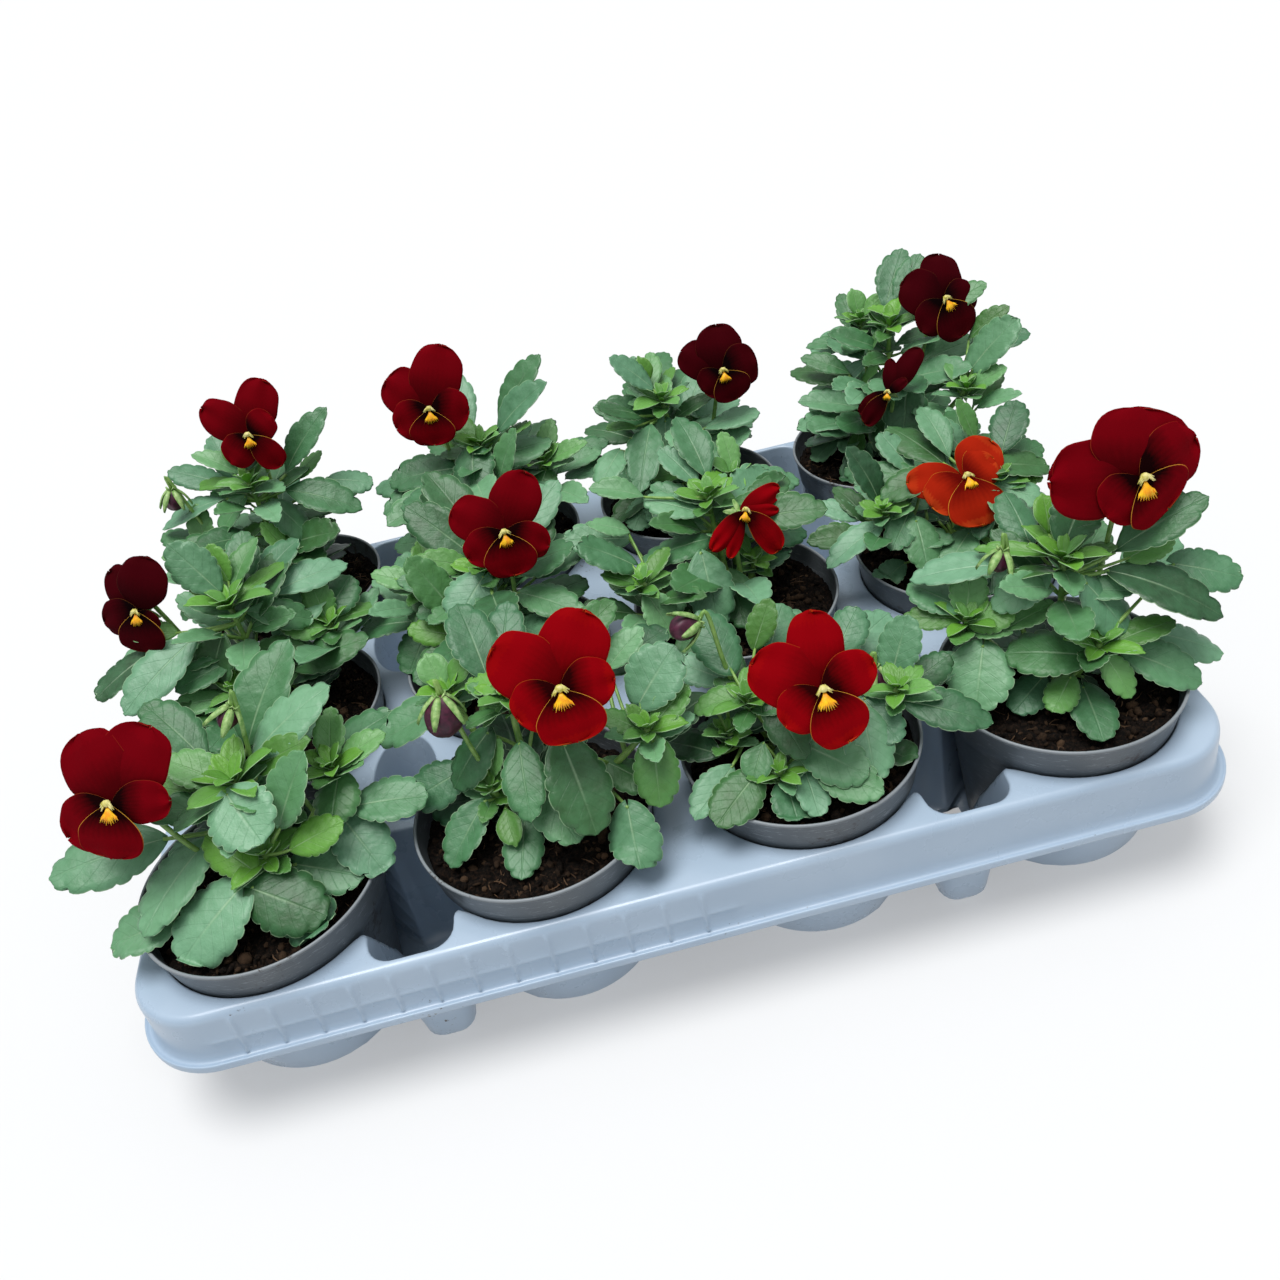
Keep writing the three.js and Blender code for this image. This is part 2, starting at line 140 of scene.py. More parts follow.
def new_material(name, **surface):
    """A material with a Principled surface whose constant values sit on its own sockets."""
    material = bpy.data.materials.new(name)
    material.use_nodes = True
    tree = material.node_tree
    shader = next(n for n in tree.nodes if n.type == "BSDF_PRINCIPLED")
    for key, value in surface.items():
        shader.inputs[key.replace("_", " ").title().replace("Ior", "IOR")].default_value = value
    return material, tree, shader


def grey(value):
    return (value, value, value, 1)


def noise_on(tree, where, size, detail=3.0, rough=0.55):
    """Cloudy noise whose blotches are about size millimetres across."""
    return add_node(tree, "ShaderNodeTexNoise", {
        "Vector": where, "Scale": 1 / (size * MM), "Detail": detail, "Roughness": rough})


def formed_polystyrene():
    """Vacuum-formed sheet: a satin, slightly wavy skin, dusted and speckled with dry peat."""
    material, tree, shader = new_material("formed_polystyrene", roughness=0.3, ior=1.59)
    where = add_node(tree, "ShaderNodeTexCoord").outputs["Object"]
    cloud = noise_on(tree, where, 90)
    tint = add_node(tree, "ShaderNodeValToRGB", {0: cloud.outputs["Fac"]}, stops=[
        (0.3, linear("9db0c3")), (0.7, linear("abbccd"))])
    speck = noise_on(tree, where, 3.2, 4.0, 0.7)
    dirt_zone = noise_on(tree, where, 60, 2.0)
    dirt = add_node(tree, "ShaderNodeMath", {0: speck.outputs["Fac"], 1: dirt_zone.outputs["Fac"]},
                    operation="MULTIPLY")
    mask = add_node(tree, "ShaderNodeValToRGB", {0: dirt.outputs[0]}, stops=[
        (0.415, grey(0)), (0.45, grey(1))])
    colour = add_node(tree, "ShaderNodeMix", {
        0: mask.outputs["Color"], 6: tint.outputs["Color"], 7: linear("4a4038")}, data_type="RGBA")
    tree.links.new(colour.outputs[2], shader.inputs["Base Color"])
    smear = noise_on(tree, where, 25, 5.0)
    rough = add_node(tree, "ShaderNodeMapRange", {
        "Value": smear.outputs["Fac"], "From Min": 0.3, "From Max": 0.7, "To Min": 0.22, "To Max": 0.4})
    tree.links.new(rough.outputs[0], shader.inputs["Roughness"])
    wave = noise_on(tree, where, 14, 2.0)
    bump = add_node(tree, "ShaderNodeBump", {
        "Height": wave.outputs["Fac"], "Strength": 0.25, "Distance": 0.4 * MM})
    tree.links.new(bump.outputs[0], shader.inputs["Normal"])
    return material


def recycled_polypropylene():
    """Injection-moulded dark grey pot: matt, paler along the top of the rim, with scuffs and splashed peat.
    """
    material, tree, shader = new_material("recycled_polypropylene", roughness=0.42)
    where = add_node(tree, "ShaderNodeTexCoord").outputs["Object"]
    cloud = noise_on(tree, where, 35)
    tint = add_node(tree, "ShaderNodeValToRGB", {0: cloud.outputs["Fac"]}, stops=[
        (0.3, linear("4b5054")), (0.7, linear("5b6165"))])
    stretched = add_node(tree, "ShaderNodeMapping", {"Vector": where, "Scale": (1, 1, 9)})
    scratch = noise_on(tree, stretched.outputs[0], 9, 6.0, 0.75)
    scuff = add_node(tree, "ShaderNodeValToRGB", {0: scratch.outputs["Fac"]}, stops=[
        (0.57, grey(0)), (0.63, grey(0.7))])
    scuffed = add_node(tree, "ShaderNodeMix", {
        0: scuff.outputs["Color"], 6: tint.outputs["Color"], 7: linear("8c9195")}, data_type="RGBA")
    height = add_node(tree, "ShaderNodeSeparateXYZ", {0: where}).outputs["Z"]
    # A paler band along the top of the rim.
    rim_top = add_node(tree, "ShaderNodeMapRange", {
        "Value": height, "From Min": (RIM - 1.6) * MM, "From Max": (RIM - 0.3) * MM})
    rimmed = add_node(tree, "ShaderNodeMix", {
        0: rim_top.outputs[0], 6: scuffed.outputs[2], 7: linear("82888c")}, data_type="RGBA")
    splash = noise_on(tree, where, 4, 5.0, 0.75)
    zone = noise_on(tree, where, 45, 2.0)
    both = add_node(tree, "ShaderNodeMath", {0: splash.outputs["Fac"], 1: zone.outputs["Fac"]},
                    operation="MULTIPLY")
    mask = add_node(tree, "ShaderNodeValToRGB", {0: both.outputs[0]}, stops=[
        (0.34, grey(0)), (0.39, grey(0.85))])
    colour = add_node(tree, "ShaderNodeMix", {
        0: mask.outputs["Color"], 6: rimmed.outputs[2], 7: linear("33271f")}, data_type="RGBA")
    tree.links.new(colour.outputs[2], shader.inputs["Base Color"])
    bump = add_node(tree, "ShaderNodeBump", {
        "Height": both.outputs[0], "Strength": 0.3, "Distance": 0.5 * MM})
    tree.links.new(bump.outputs[0], shader.inputs["Normal"])
    return material


def milled_peat(name, dark, pale, crumb_size):
    """Damp black peat: almost no gloss, with paler wood fibre and bark crumbs about 2 mm across."""
    material, tree, shader = new_material(name, roughness=0.95)
    shader.inputs["Specular IOR Level"].default_value = 0.15
    where = add_node(tree, "ShaderNodeTexCoord").outputs["Object"]
    crumbs = noise_on(tree, where, crumb_size, 6.0, 0.75)
    tint = add_node(tree, "ShaderNodeValToRGB", {0: crumbs.outputs["Fac"]}, stops=[
        (0.4, linear(dark)), (0.5, linear("15100c")), (0.66, linear(pale))])
    tone = add_node(tree, "ShaderNodeAttribute", attribute_name="tone")
    toned = add_node(tree, "ShaderNodeMix", {
        0: tone.outputs["Fac"], 6: tint.outputs["Color"], 7: linear("7a5f48")}, data_type="RGBA")
    tree.links.new(toned.outputs[2], shader.inputs["Base Color"])
    bump = add_node(tree, "ShaderNodeBump", {
        "Height": crumbs.outputs["Fac"], "Strength": 1.0, "Distance": 2.0 * MM})
    tree.links.new(bump.outputs[0], shader.inputs["Normal"])
    return material


def pansy_leaf(name, old_dark, grown, old_pale, young, vein):
    """A leaf with a waxy bloom: satin blue-green, fresher when young, with sunk veins painted darker as
    shade and a pale midrib.
    """
    material, tree, shader = new_material(name, roughness=0.44)
    where = add_node(tree, "ShaderNodeTexCoord").outputs["Object"]
    uv = add_node(tree, "ShaderNodeUVMap", uv_map="blade").outputs[0]
    across_along = add_node(tree, "ShaderNodeSeparateXYZ", {0: uv})
    age = add_node(tree, "ShaderNodeAttribute", attribute_name="youth").outputs["Fac"]
    tone = add_node(tree, "ShaderNodeAttribute", attribute_name="tone").outputs["Fac"]
    bloom = noise_on(tree, where, 7, 4.0)
    blotch = add_node(tree, "ShaderNodeMath", {0: bloom.outputs["Fac"], 1: 0.45, 2: tone},
                      operation="MULTIPLY_ADD")
    old = add_node(tree, "ShaderNodeValToRGB", {0: blotch.outputs[0]}, stops=[
        (0.15, linear(old_dark)), (1.0, linear(old_pale)), (0.52, linear(grown))])
    fresh = add_node(tree, "ShaderNodeMix", {
        0: age, 6: old.outputs["Color"], 7: linear(young)}, data_type="RGBA")
    # How far from the midrib, 0 to 0.5, and the slanting side veins that leave it.
    side = add_node(tree, "ShaderNodeMath", {0: across_along.outputs["X"], 1: 0.5},
                    operation="SUBTRACT")
    side = add_node(tree, "ShaderNodeMath", {0: side.outputs[0]}, operation="ABSOLUTE")
    slant = add_node(tree, "ShaderNodeMath", {0: side.outputs[0], 1: -0.62, 2: across_along.outputs["Y"]},
                     operation="MULTIPLY_ADD")
    ripple = add_node(tree, "ShaderNodeMath", {0: slant.outputs[0], 1: 6.0}, operation="MULTIPLY")
    ripple = add_node(tree, "ShaderNodeMath", {0: ripple.outputs[0], 1: 0.5}, operation="PINGPONG")
    side_vein = add_node(tree, "ShaderNodeMapRange", {
        "Value": ripple.outputs[0], "From Min": 0.0, "From Max": 0.06, "To Min": 1.0, "To Max": 0.0})
    midrib = add_node(tree, "ShaderNodeMapRange", {
        "Value": side.outputs[0], "From Min": 0.006, "From Max": 0.03, "To Min": 1.0, "To Max": 0.0})
    near = add_node(tree, "ShaderNodeMapRange", {
        "Value": across_along.outputs["Y"], "From Min": 0.1, "From Max": 0.7, "To Min": 0.5,
        "To Max": 0.06})
    rib = add_node(tree, "ShaderNodeMath", {0: midrib.outputs[0], 1: near.outputs[0]},
                   operation="MULTIPLY")
    veins = add_node(tree, "ShaderNodeMath", {0: side_vein.outputs[0], 1: 0.3, 2: midrib.outputs[0]},
                     operation="MULTIPLY_ADD")
    margin = add_node(tree, "ShaderNodeMapRange", {
        "Value": side.outputs[0], "From Min": 0.482, "From Max": 0.5, "To Min": 0.0, "To Max": 0.7})
    lines = add_node(tree, "ShaderNodeMath", {0: rib.outputs[0], 1: margin.outputs[0]},
                     operation="MAXIMUM")
    # The side veins are painted darker towards the old dark green: painted shade in their sunk grooves.
    shade = add_node(tree, "ShaderNodeMath", {0: side_vein.outputs[0], 1: 0.13}, operation="MULTIPLY")
    vein_shaded = add_node(tree, "ShaderNodeMix", {
        0: shade.outputs[0], 6: fresh.outputs[2], 7: linear(old_dark)}, data_type="RGBA")
    colour = add_node(tree, "ShaderNodeMix", {
        0: lines.outputs[0], 6: vein_shaded.outputs[2], 7: linear(vein)}, data_type="RGBA")
    tree.links.new(colour.outputs[2], shader.inputs["Base Color"])
    grain = noise_on(tree, where, 2.2, 3.0)
    sunk = add_node(tree, "ShaderNodeMath", {0: veins.outputs[0], 1: -0.8, 2: grain.outputs["Fac"]},
                    operation="MULTIPLY_ADD")
    bump = add_node(tree, "ShaderNodeBump", {
        "Height": sunk.outputs[0], "Strength": 0.5, "Distance": 0.6 * MM})
    tree.links.new(bump.outputs[0], shader.inputs["Normal"])
    return material


def pansy_stem():
    """A juicy stem: smooth and satin, yellow-green in paler and darker blotches."""
    material, tree, shader = new_material("pansy_stem", roughness=0.4)
    where = add_node(tree, "ShaderNodeTexCoord").outputs["Object"]
    streak = noise_on(tree, where, 6, 2.0)
    tint = add_node(tree, "ShaderNodeValToRGB", {0: streak.outputs["Fac"]}, stops=[
        (0.3, linear("5f8a3c")), (0.7, linear("8fb45c"))])
    tree.links.new(tint.outputs["Color"], shader.inputs["Base Color"])
    return material


def velvet_petal(name, heart, body, rim, edge):
    """A petal's velvet: fine cells that swallow the light, dark at the heart, with a thin gilded edge."""
    material, tree, shader = new_material(name, roughness=0.85)
    shader.inputs["Specular IOR Level"].default_value = 0.03
    where = add_node(tree, "ShaderNodeTexCoord").outputs["Object"]
    uv = add_node(tree, "ShaderNodeUVMap", uv_map="blade").outputs[0]
    across_along = add_node(tree, "ShaderNodeSeparateXYZ", {0: uv})
    cells = noise_on(tree, where, 6, 4.0)
    # Faint rays fan out from the throat and fade past the middle of the petal.
    ray = add_node(tree, "ShaderNodeMath", {0: across_along.outputs["X"], 1: 11.0},
                   operation="MULTIPLY")
    ray = add_node(tree, "ShaderNodeMath", {0: ray.outputs[0], 1: 0.5}, operation="PINGPONG")
    along = add_node(tree, "ShaderNodeMath", {0: cells.outputs["Fac"], 1: 0.22,
                                              2: across_along.outputs["Y"]}, operation="MULTIPLY_ADD")
    along = add_node(tree, "ShaderNodeMath", {0: ray.outputs[0], 1: 0.09, 2: along.outputs[0]},
                     operation="MULTIPLY_ADD")
    tint = add_node(tree, "ShaderNodeValToRGB", {0: along.outputs[0]}, stops=[
        (0.34, linear(heart)), (0.76, linear(body)), (0.95, linear(body)), (1.0, linear(rim))])
    blotch = add_node(tree, "ShaderNodeAttribute", attribute_name="youth").outputs["Fac"]
    marked = add_node(tree, "ShaderNodeMix", {
        0: blotch, 6: linear(body), 7: tint.outputs["Color"]}, data_type="RGBA")
    margin = add_node(tree, "ShaderNodeAttribute", attribute_name="margin").outputs["Fac"]
    line = add_node(tree, "ShaderNodeMapRange", {
        "Value": margin, "From Min": 0.72, "From Max": 1.0, "To Min": 0.0, "To Max": 0.85})
    gilt = add_node(tree, "ShaderNodeAttribute", attribute_name="tone").outputs["Fac"]
    edging = add_node(tree, "ShaderNodeMix", {
        0: gilt, 6: linear(edge), 7: linear("dca23a")}, data_type="RGBA")
    colour = add_node(tree, "ShaderNodeMix", {
        0: line.outputs[0], 6: marked.outputs[2], 7: edging.outputs[2]}, data_type="RGBA")
    tree.links.new(colour.outputs[2], shader.inputs["Base Color"])
    grain = noise_on(tree, where, 1.2, 2.0)
    bump = add_node(tree, "ShaderNodeBump", {
        "Height": grain.outputs["Fac"], "Strength": 0.15, "Distance": 0.3 * MM})
    tree.links.new(bump.outputs[0], shader.inputs["Normal"])
    return material


def plain_tissue(name, dark, pale):
    """Small soft plant tissue in one colour with a little variation."""
    material, tree, shader = new_material(name, roughness=0.5)
    where = add_node(tree, "ShaderNodeTexCoord").outputs["Object"]
    cloud = noise_on(tree, where, 2.5, 3.0)
    tint = add_node(tree, "ShaderNodeValToRGB", {0: cloud.outputs["Fac"]}, stops=[
        (0.35, linear(dark)), (0.65, linear(pale))])
    tree.links.new(tint.outputs["Color"], shader.inputs["Base Color"])
    return material


TRAY = formed_polystyrene()
POT = recycled_polypropylene()
PEAT = milled_peat("milled_peat", "050403", "33241a", 1.6)
LEAF = pansy_leaf("pansy_leaf", "16381b", "3c6e49", "70a07d", "66a032", "a8c69c")
LEAF_BACK = pansy_leaf("pansy_leaf_underside", "33623a", "588860", "82aa8a", "6ea238", "a0c094")
STEM = pansy_stem()
SEPAL = plain_tissue("sepal", "6a9848", "a4c07a")
EYE = plain_tissue("flower_eye", "f29a00", "ffc808")
HOOD = plain_tissue("flower_throat", "b8ae3c", "e6dc96")
BUD = plain_tissue("furled_bud", "300a1e", "501832")
# The heart, body, rim and edge of each variety's petals.
VARIETIES = {
    "petal_red": ("120001", "660009", "6e000a", "a02c1c"),
    "petal_bright_red": ("240001", "820008", "8c0407", "c04c16"),
    "petal_maroon": ("080001", "380006", "3c0207", "5a1814"),
    "petal_orange_red": ("5a0602", "9c1f0a", "aa3412", "dc8a2c"),
}
PETALS = {name: [velvet_petal(name, *tones), velvet_petal(name + "_reverse", *tones[1:2] * 3, tones[3])]
          for name, tones in VARIETIES.items()}


# ---------------------------------------------------------------- Pieces
def new_mesh():
    """A mesh in the making, with the layers that the materials read."""
    bm = bmesh.new()
    bm.loops.layers.uv.new("blade")
    for name in ("youth", "tone", "margin"):
        bm.verts.layers.float.new(name)
    bm.verts.layers.int.new("station")
    return bm


def finish_piece(name, bm, materials, replaces=(), thickness=0.0, offset=0.0):
    """Makes the mesh an object in the frame, gives it its wall if it is a sheet, and lets it ride."""
    bmesh.ops.transform(bm, matrix=PLACE, verts=bm.verts)
    mesh = bpy.data.meshes.new(name)
    bm.to_mesh(mesh)
    bm.free()
    mesh.shade_smooth()
    obj = bpy.data.objects.new(name, mesh)
    bpy.context.scene.collection.objects.link(obj)
    for material in materials:
        mesh.materials.append(material)
    if thickness:
        wall = obj.modifiers.new("wall", "SOLIDIFY")
        wall.thickness, wall.offset = thickness * MM, offset
        wall.material_offset = 1 if len(materials) > 1 else 0
    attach(obj, "root")
    if replaces:
        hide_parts(*replaces)


SCRATCH = bpy.data.meshes.new("scratch")


def join(bm, part):
    """Adds a small finished part to a larger mesh in the making."""
    part.to_mesh(SCRATCH)
    part.free()
    bm.from_mesh(SCRATCH)


def sweep_loops(bm, loops):
    """Draws the first closed loop of points, extrudes it through the others, and returns the end edges."""
    station = bm.verts.layers.int["station"]
    ring = [bm.verts.new(point) for point in loops[0]]
    for number, vert in enumerate(ring):
        vert[station] = number
    first = [bm.edges.new((vert, ring[number - 1])) for number, vert in enumerate(ring)]
    edges = first
    for loop in loops[1:]:
        grown = bmesh.ops.extrude_edge_only(bm, edges=edges)["geom"]
        for vert in (g for g in grown if isinstance(g, bmesh.types.BMVert)):
            vert.co = loop[vert[station]]
        edges = [g for g in grown if isinstance(g, bmesh.types.BMEdge) and g.is_boundary]
    return first, edges


def sweep_tube(bm, path, radii, sides=6, tone=0.0):
    """A round stem along a path of points, closed at both ends."""
    part = new_mesh()
    loops = []
    for number, point in enumerate(path):
        ahead = path[min(number + 1, len(path) - 1)] - path[max(number - 1, 0)]
        turn = ahead.to_track_quat("Z", "Y").to_matrix()
        loops.append([
            point + turn @ Vector((radii[number] * math.cos(a), radii[number] * math.sin(a), 0))
            for a in (2 * math.pi * i / sides for i in range(sides))])
    first, last = sweep_loops(part, loops)
    bmesh.ops.contextual_create(part, geom=first)
    bmesh.ops.contextual_create(part, geom=last)
    bmesh.ops.recalc_face_normals(part, faces=part.faces)
    for vert in part.verts:
        vert[part.verts.layers.float["tone"]] = tone
    join(bm, part)


def bowed_path(start, end, bow, steps):
    """Points from start to end, along a curve whose middle is pushed by bow."""
    middle = (start + end) / 2 + bow
    return [start * (1 - t) ** 2 + middle * (2 * t * (1 - t)) + end * t ** 2
            for t in (i / steps for i in range(steps + 1))]


# ---------------------------------------------------------------- Tray
SHEET = 1.3
TRAY_HALF_X, TRAY_HALF_Y, TRAY_CORNER = 271.5, 190.0, 37.0   # at the skirt's foot
CUP_MOUTH, CUP_FOOT, CUP_TOE = 57.0, 47.5, 4.0
MOUTH_FILLET = 1.4
SLOT_X, SLOT_OUTER, SLOT_INNER = PITCH_X, 183.0, 103.0
SLOT_HALF, SLOT_FOOT_HALF, SLOT_END_INSET = 20.5, 11.0, 7.5
NECK_HALF = 13.0                          # of the way from a slot's foot to the cups beside it
FLOOR_OPENING = (9, 21, 11)               # from and to, out of the slot's middle, and half its width
POCKET_Y, POCKET_HALF_X, POCKET_HALF_Y, POCKET_FOOT = PITCH_Y / 2, 17.5, 33.0, 0.5
CREASE_PITCH, CREASE_HEIGHT, CREASE_WIDTH, CREASE_LEVEL = 18.5, 1.0, 1.2, 61.0
CREASED_TO_X = 15.0                       # the other half of the skirt is plain
CREASED_STEP, PLAIN_STEP = 0.75, 4.0      # between the points of the tray's outline
LEVEL_CREASE_WIDTH, LEVEL_CREASE_SHARE = 1.2, 0.7         # of the crease that runs along the skirt
CREASED_FROM_Z, CREASED_TO_Z = 54, 75
DIMPLE_HEIGHT, DIMPLE_LEVEL, DIMPLE_WIDTH = 2.2, 52.4, 1.1
SLOT_CORNER, SLOT_CORNER_LESS = 12.0, 5.0                 # at the deck, and how much less at the foot
HOLLOW_BLEND, HOLLOW_BLEND_LESS = 8.0, 4.0
RAY_START_Y, RAY_REACH, RAY_CROWDING = 5.0, 140.0, 0.36   # that find a slot's outline


def edge_section():
    """The tray's edge from the deck down to the lip: how far out of the skirt's foot, and how high."""
    rounding = [(-5.0 + 3.9 * math.sin(a), 74 + 5 * math.cos(a))
                for a in (math.radians(15 * i) for i in range(7))]
    skirt = [(-0.95, 71), (-0.75, 67), (-0.55, 63), (-0.5, 62), (-0.45, 61), (-0.4, 60), (-0.35, 59),
             (-0.1, 55.5), (0.15, 53.8), (0.6, 52.4), (1.3, 51.2), (2.2, 50.5)]
    lip = [(3.2, 50.3), (3.9, 50.8), (4.5, 51.0), (4.9, 50.7), (5.0, 50.0), (5.0, 47.2), (4.9, 46.6)]
    return rounding + skirt + lip


def depth_levels():
    """(how far outside the mouth, height, share of the way down) for the wall of every hollow."""
    levels = []
    for step in range(4):
        angle = math.radians(30 * step)
        levels.append((MOUTH_FILLET * (1 - math.sin(angle)), DECK - MOUTH_FILLET * (1 - math.cos(angle)),
                       0.0))
    for height in (70, 60, 46, 32, 18, SHEET + CUP_TOE):
        levels.append((0.0, height, (DECK - height) / (DECK - SHEET)))
    for step in range(1, 4):
        angle = math.radians(30 * step)
        levels.append((-CUP_TOE * (1 - math.cos(angle)),
                       SHEET + CUP_TOE * (1 - math.sin(angle)), 1.0))
    return levels


def round_outline(centre_x, centre_y, radius_x, radius_y, height, steps):
    return [Vector((centre_x + radius_x * math.cos(a), centre_y + radius_y * math.sin(a), height))
            for a in (2 * math.pi * i / steps for i in range(steps))]


def cup_radius(share):
    return CUP_MOUTH + share * (CUP_FOOT - CUP_MOUTH)


def slot_hollow(x, y, grow, share):
    """Signed distance from a pair of cups and the finger slot that joins them, about the slot's axis."""
    cups = np.minimum(np.hypot(x - PITCH_X / 2, y), np.hypot(x + PITCH_X / 2, y)) \
        - cup_radius(share) - grow
    half_x = SLOT_HALF + share * (SLOT_FOOT_HALF - SLOT_HALF) + grow
    outer = SLOT_OUTER - PITCH_Y - share * SLOT_END_INSET + grow
    inner = SLOT_INNER - PITCH_Y + share * SLOT_END_INSET - grow
    corner = SLOT_CORNER - SLOT_CORNER_LESS * share
    dx = np.abs(x) - half_x + corner
    dy = np.abs(y - (outer + inner) / 2) - (outer - inner) / 2 + corner
    slot = np.hypot(np.maximum(dx, 0), np.maximum(dy, 0)) + np.minimum(np.maximum(dx, dy), 0) - corner
    neck = np.maximum(np.abs(x) - PITCH_X / 2, np.abs(y) - NECK_HALF - grow)
    blend = HOLLOW_BLEND - HOLLOW_BLEND_LESS * share
    for part in (slot, neck):
        mix = np.clip(0.5 + 0.5 * (part - cups) / blend, 0, 1)
        cups = part * (1 - mix) + cups * mix - blend * mix * (1 - mix)
    return cups


def slot_outline(side_x, side_y, grow, height, share, steps=220):
    """The outline of slot_hollow, found along rays from a point on the slot's axis."""
    # Most rays go where the outline is far off, at the outer sides of both cups.
    angles = np.linspace(0, 2 * math.pi, steps, endpoint=False)
    angles = angles - RAY_CROWDING * np.sin(2 * angles)
    far = np.arange(RAY_REACH, 2.0, -1.0)[:, None]
    inside = slot_hollow(far * np.cos(angles), RAY_START_Y + far * np.sin(angles), grow, share) < 0
    low = far[np.argmax(inside, axis=0), 0]
    high = low + 1.0
    for _ in range(12):
        middle = (low + high) / 2
        is_in = slot_hollow(middle * np.cos(angles), RAY_START_Y + middle * np.sin(angles), grow, share) < 0
        low, high = np.where(is_in, middle, low), np.where(is_in, high, middle)
    return [Vector((side_x * SLOT_X + r * math.cos(a),
                    side_y * (PITCH_Y + RAY_START_Y + r * math.sin(a)), height))
            for r, a in zip(low, angles)]


def skirt_relief(x, height):
    """How far the skirt stands out at x: faint creases in a grid, and dimples over the lip."""
    if x > CREASED_TO_X:
        return 0.0
    off = abs((x / CREASE_PITCH) % 1 - 0.5) * CREASE_PITCH - CREASE_PITCH / 2
    upright = math.exp(-(off / CREASE_WIDTH) ** 2)
    level = math.exp(-((height - CREASE_LEVEL) / LEVEL_CREASE_WIDTH) ** 2)
    is_creased = CREASED_FROM_Z < height < CREASED_TO_Z
    crease = CREASE_HEIGHT * max(upright, LEVEL_CREASE_SHARE * level) if is_creased else 0.0
    dimple = DIMPLE_HEIGHT * upright ** 2 * math.exp(-((height - DIMPLE_LEVEL) / DIMPLE_WIDTH) ** 2)
    return crease + dimple


def skirt_outline(out, height):
    """A rounded rectangle round the tray, its points close together where it is creased."""
    straight_x, straight_y = TRAY_HALF_X - TRAY_CORNER, TRAY_HALF_Y - TRAY_CORNER
    corner = TRAY_CORNER + out
    points = []
    for side in range(4):
        way = Matrix.Rotation(math.radians(90 * side), 2)
        if side % 2 == 0:
            half, off = straight_x, straight_y
            marks = [*np.arange(-half, CREASED_TO_X, CREASED_STEP),
                     *np.arange(CREASED_TO_X, half, PLAIN_STEP)]
            flat = [Vector((x, -off - corner - skirt_relief(x, height))) for x in marks]
        else:
            half, off = straight_y, straight_x
            flat = [Vector((x, -off - corner)) for x in np.arange(-half, half, PLAIN_STEP)]
        flat += [Vector((half + corner * math.sin(a), -off - corner * math.cos(a)))
                 for a in (math.radians(6 * i) for i in range(15))]
        points += [(way @ point).to_3d() + Vector((0, 0, height)) for point in flat]
    return points


def floor_opening(bm, side_x, side_y):
    """The edges of the opening through a slot's floor."""
    start, end, half = FLOOR_OPENING
    corners = [(start, -half), (end, -half), (end, half), (start, half)]
    verts = [bm.verts.new((side_x * (SLOT_X + x), side_y * PITCH_Y + y, SHEET)) for x, y in corners]
    return [bm.edges.new((vert, verts[number - 1])) for number, vert in enumerate(verts)]


def make_tray():
    bm = new_mesh()
    levels = depth_levels()
    rims, floors = [], []
    for place in PLACES:
        if place[0] == "b":
            centre = pot_centre(place)
            loops = [round_outline(centre.x, centre.y, cup_radius(s) + g, cup_radius(s) + g, z, 80)
                     for g, z, s in levels]
            rim, end = sweep_loops(bm, loops)
            rims += rim
            floors.append(end)
    for side_x in (-1, 1):
        for side_y in (-1, 1):
            rim, end = sweep_loops(bm, [slot_outline(side_x, side_y, g, z, s) for g, z, s in levels])
            rims += rim
            # Each opening is the other turned half round the tray's middle.
            if side_x != side_y:
                end = end + floor_opening(bm, side_x, side_y)
            floors.append(end)
            loops = []
            for g, z, s in levels:
                share = 1 - s * (1 - POCKET_FOOT)
                loops.append(round_outline(side_x * SLOT_X, side_y * POCKET_Y,
                                           POCKET_HALF_X * share + g, POCKET_HALF_Y * share + g, z, 60))
            rim, end = sweep_loops(bm, loops)
            rims += rim
            floors.append(end)
    edge, _ = sweep_loops(bm, [skirt_outline(out, z) for out, z in edge_section()])
    for edges in [rims + edge] + floors:
        bmesh.ops.triangle_fill(bm, use_beauty=True, use_dissolve=False, edges=edges, normal=(0, 0, 1))
    bmesh.ops.recalc_face_normals(bm, faces=bm.faces)
    if sum(f.normal.z * f.calc_area() for f in bm.faces) < 0:
        bmesh.ops.reverse_faces(bm, faces=bm.faces)
    finish_piece("tray_sheet", bm, [TRAY], ["tray"], thickness=SHEET, offset=-1.0)


# ---------------------------------------------------------------- Pots and peat
POT_STEPS = 96
# Half-section of a pot, (radius, height from the rim), up the outside and down the inside.
POT_SECTION = [
    (0, -96.2), (41.6, -96.2), (42.7, -95.8), (43.2, -94.8), (48.5, -58), (53.7, -22.2), (54.1, -21.4),
    (55.9, -21.0), (56.5, -20.4), (57.6, -13.0), (58.9, -3.2), (59.2, -2.6), (59.75, -2.3), (60, -1.7),
    (60, -0.5), (59.6, -0.05), (59.0, 0), (58.5, -0.4), (58.4, -1.4), (57.2, -8), (54.9, -19.2),
    (52.6, -21.2), (47.0, -58), (41.6, -94.2), (0, -94.6),
]


def make_pot(place):
    bm = new_mesh()
    centre = pot_centre(place)
    spine = [bm.verts.new((radius, 0, RIM + height)) for radius, height in POT_SECTION]
    edges = [bm.edges.new(pair) for pair in zip(spine, spine[1:])]
    bmesh.ops.spin(bm, geom=spine + edges, axis=(0, 0, 1), cent=(0, 0, 0), steps=POT_STEPS,
                   angle=2 * math.pi, use_merge=True)
    bmesh.ops.remove_doubles(bm, verts=bm.verts, dist=0.01)
    bmesh.ops.recalc_face_normals(bm, faces=bm.faces)
    bmesh.ops.translate(bm, verts=bm.verts, vec=centre)
    finish_piece("nursery_pot_" + place, bm, [POT], ["pot_" + place])


SOIL_RADIUS = 56.0
SOIL_GRID = 84
CRUMBS, FIBRES = 800, 80
# The plug's side and foot, down inside the pot: radius, and height over the ground.
PLUG_SECTION = [(53.2, RIM - 18), (51.6, RIM - 22), (41, POT_FLOOR + 3)]


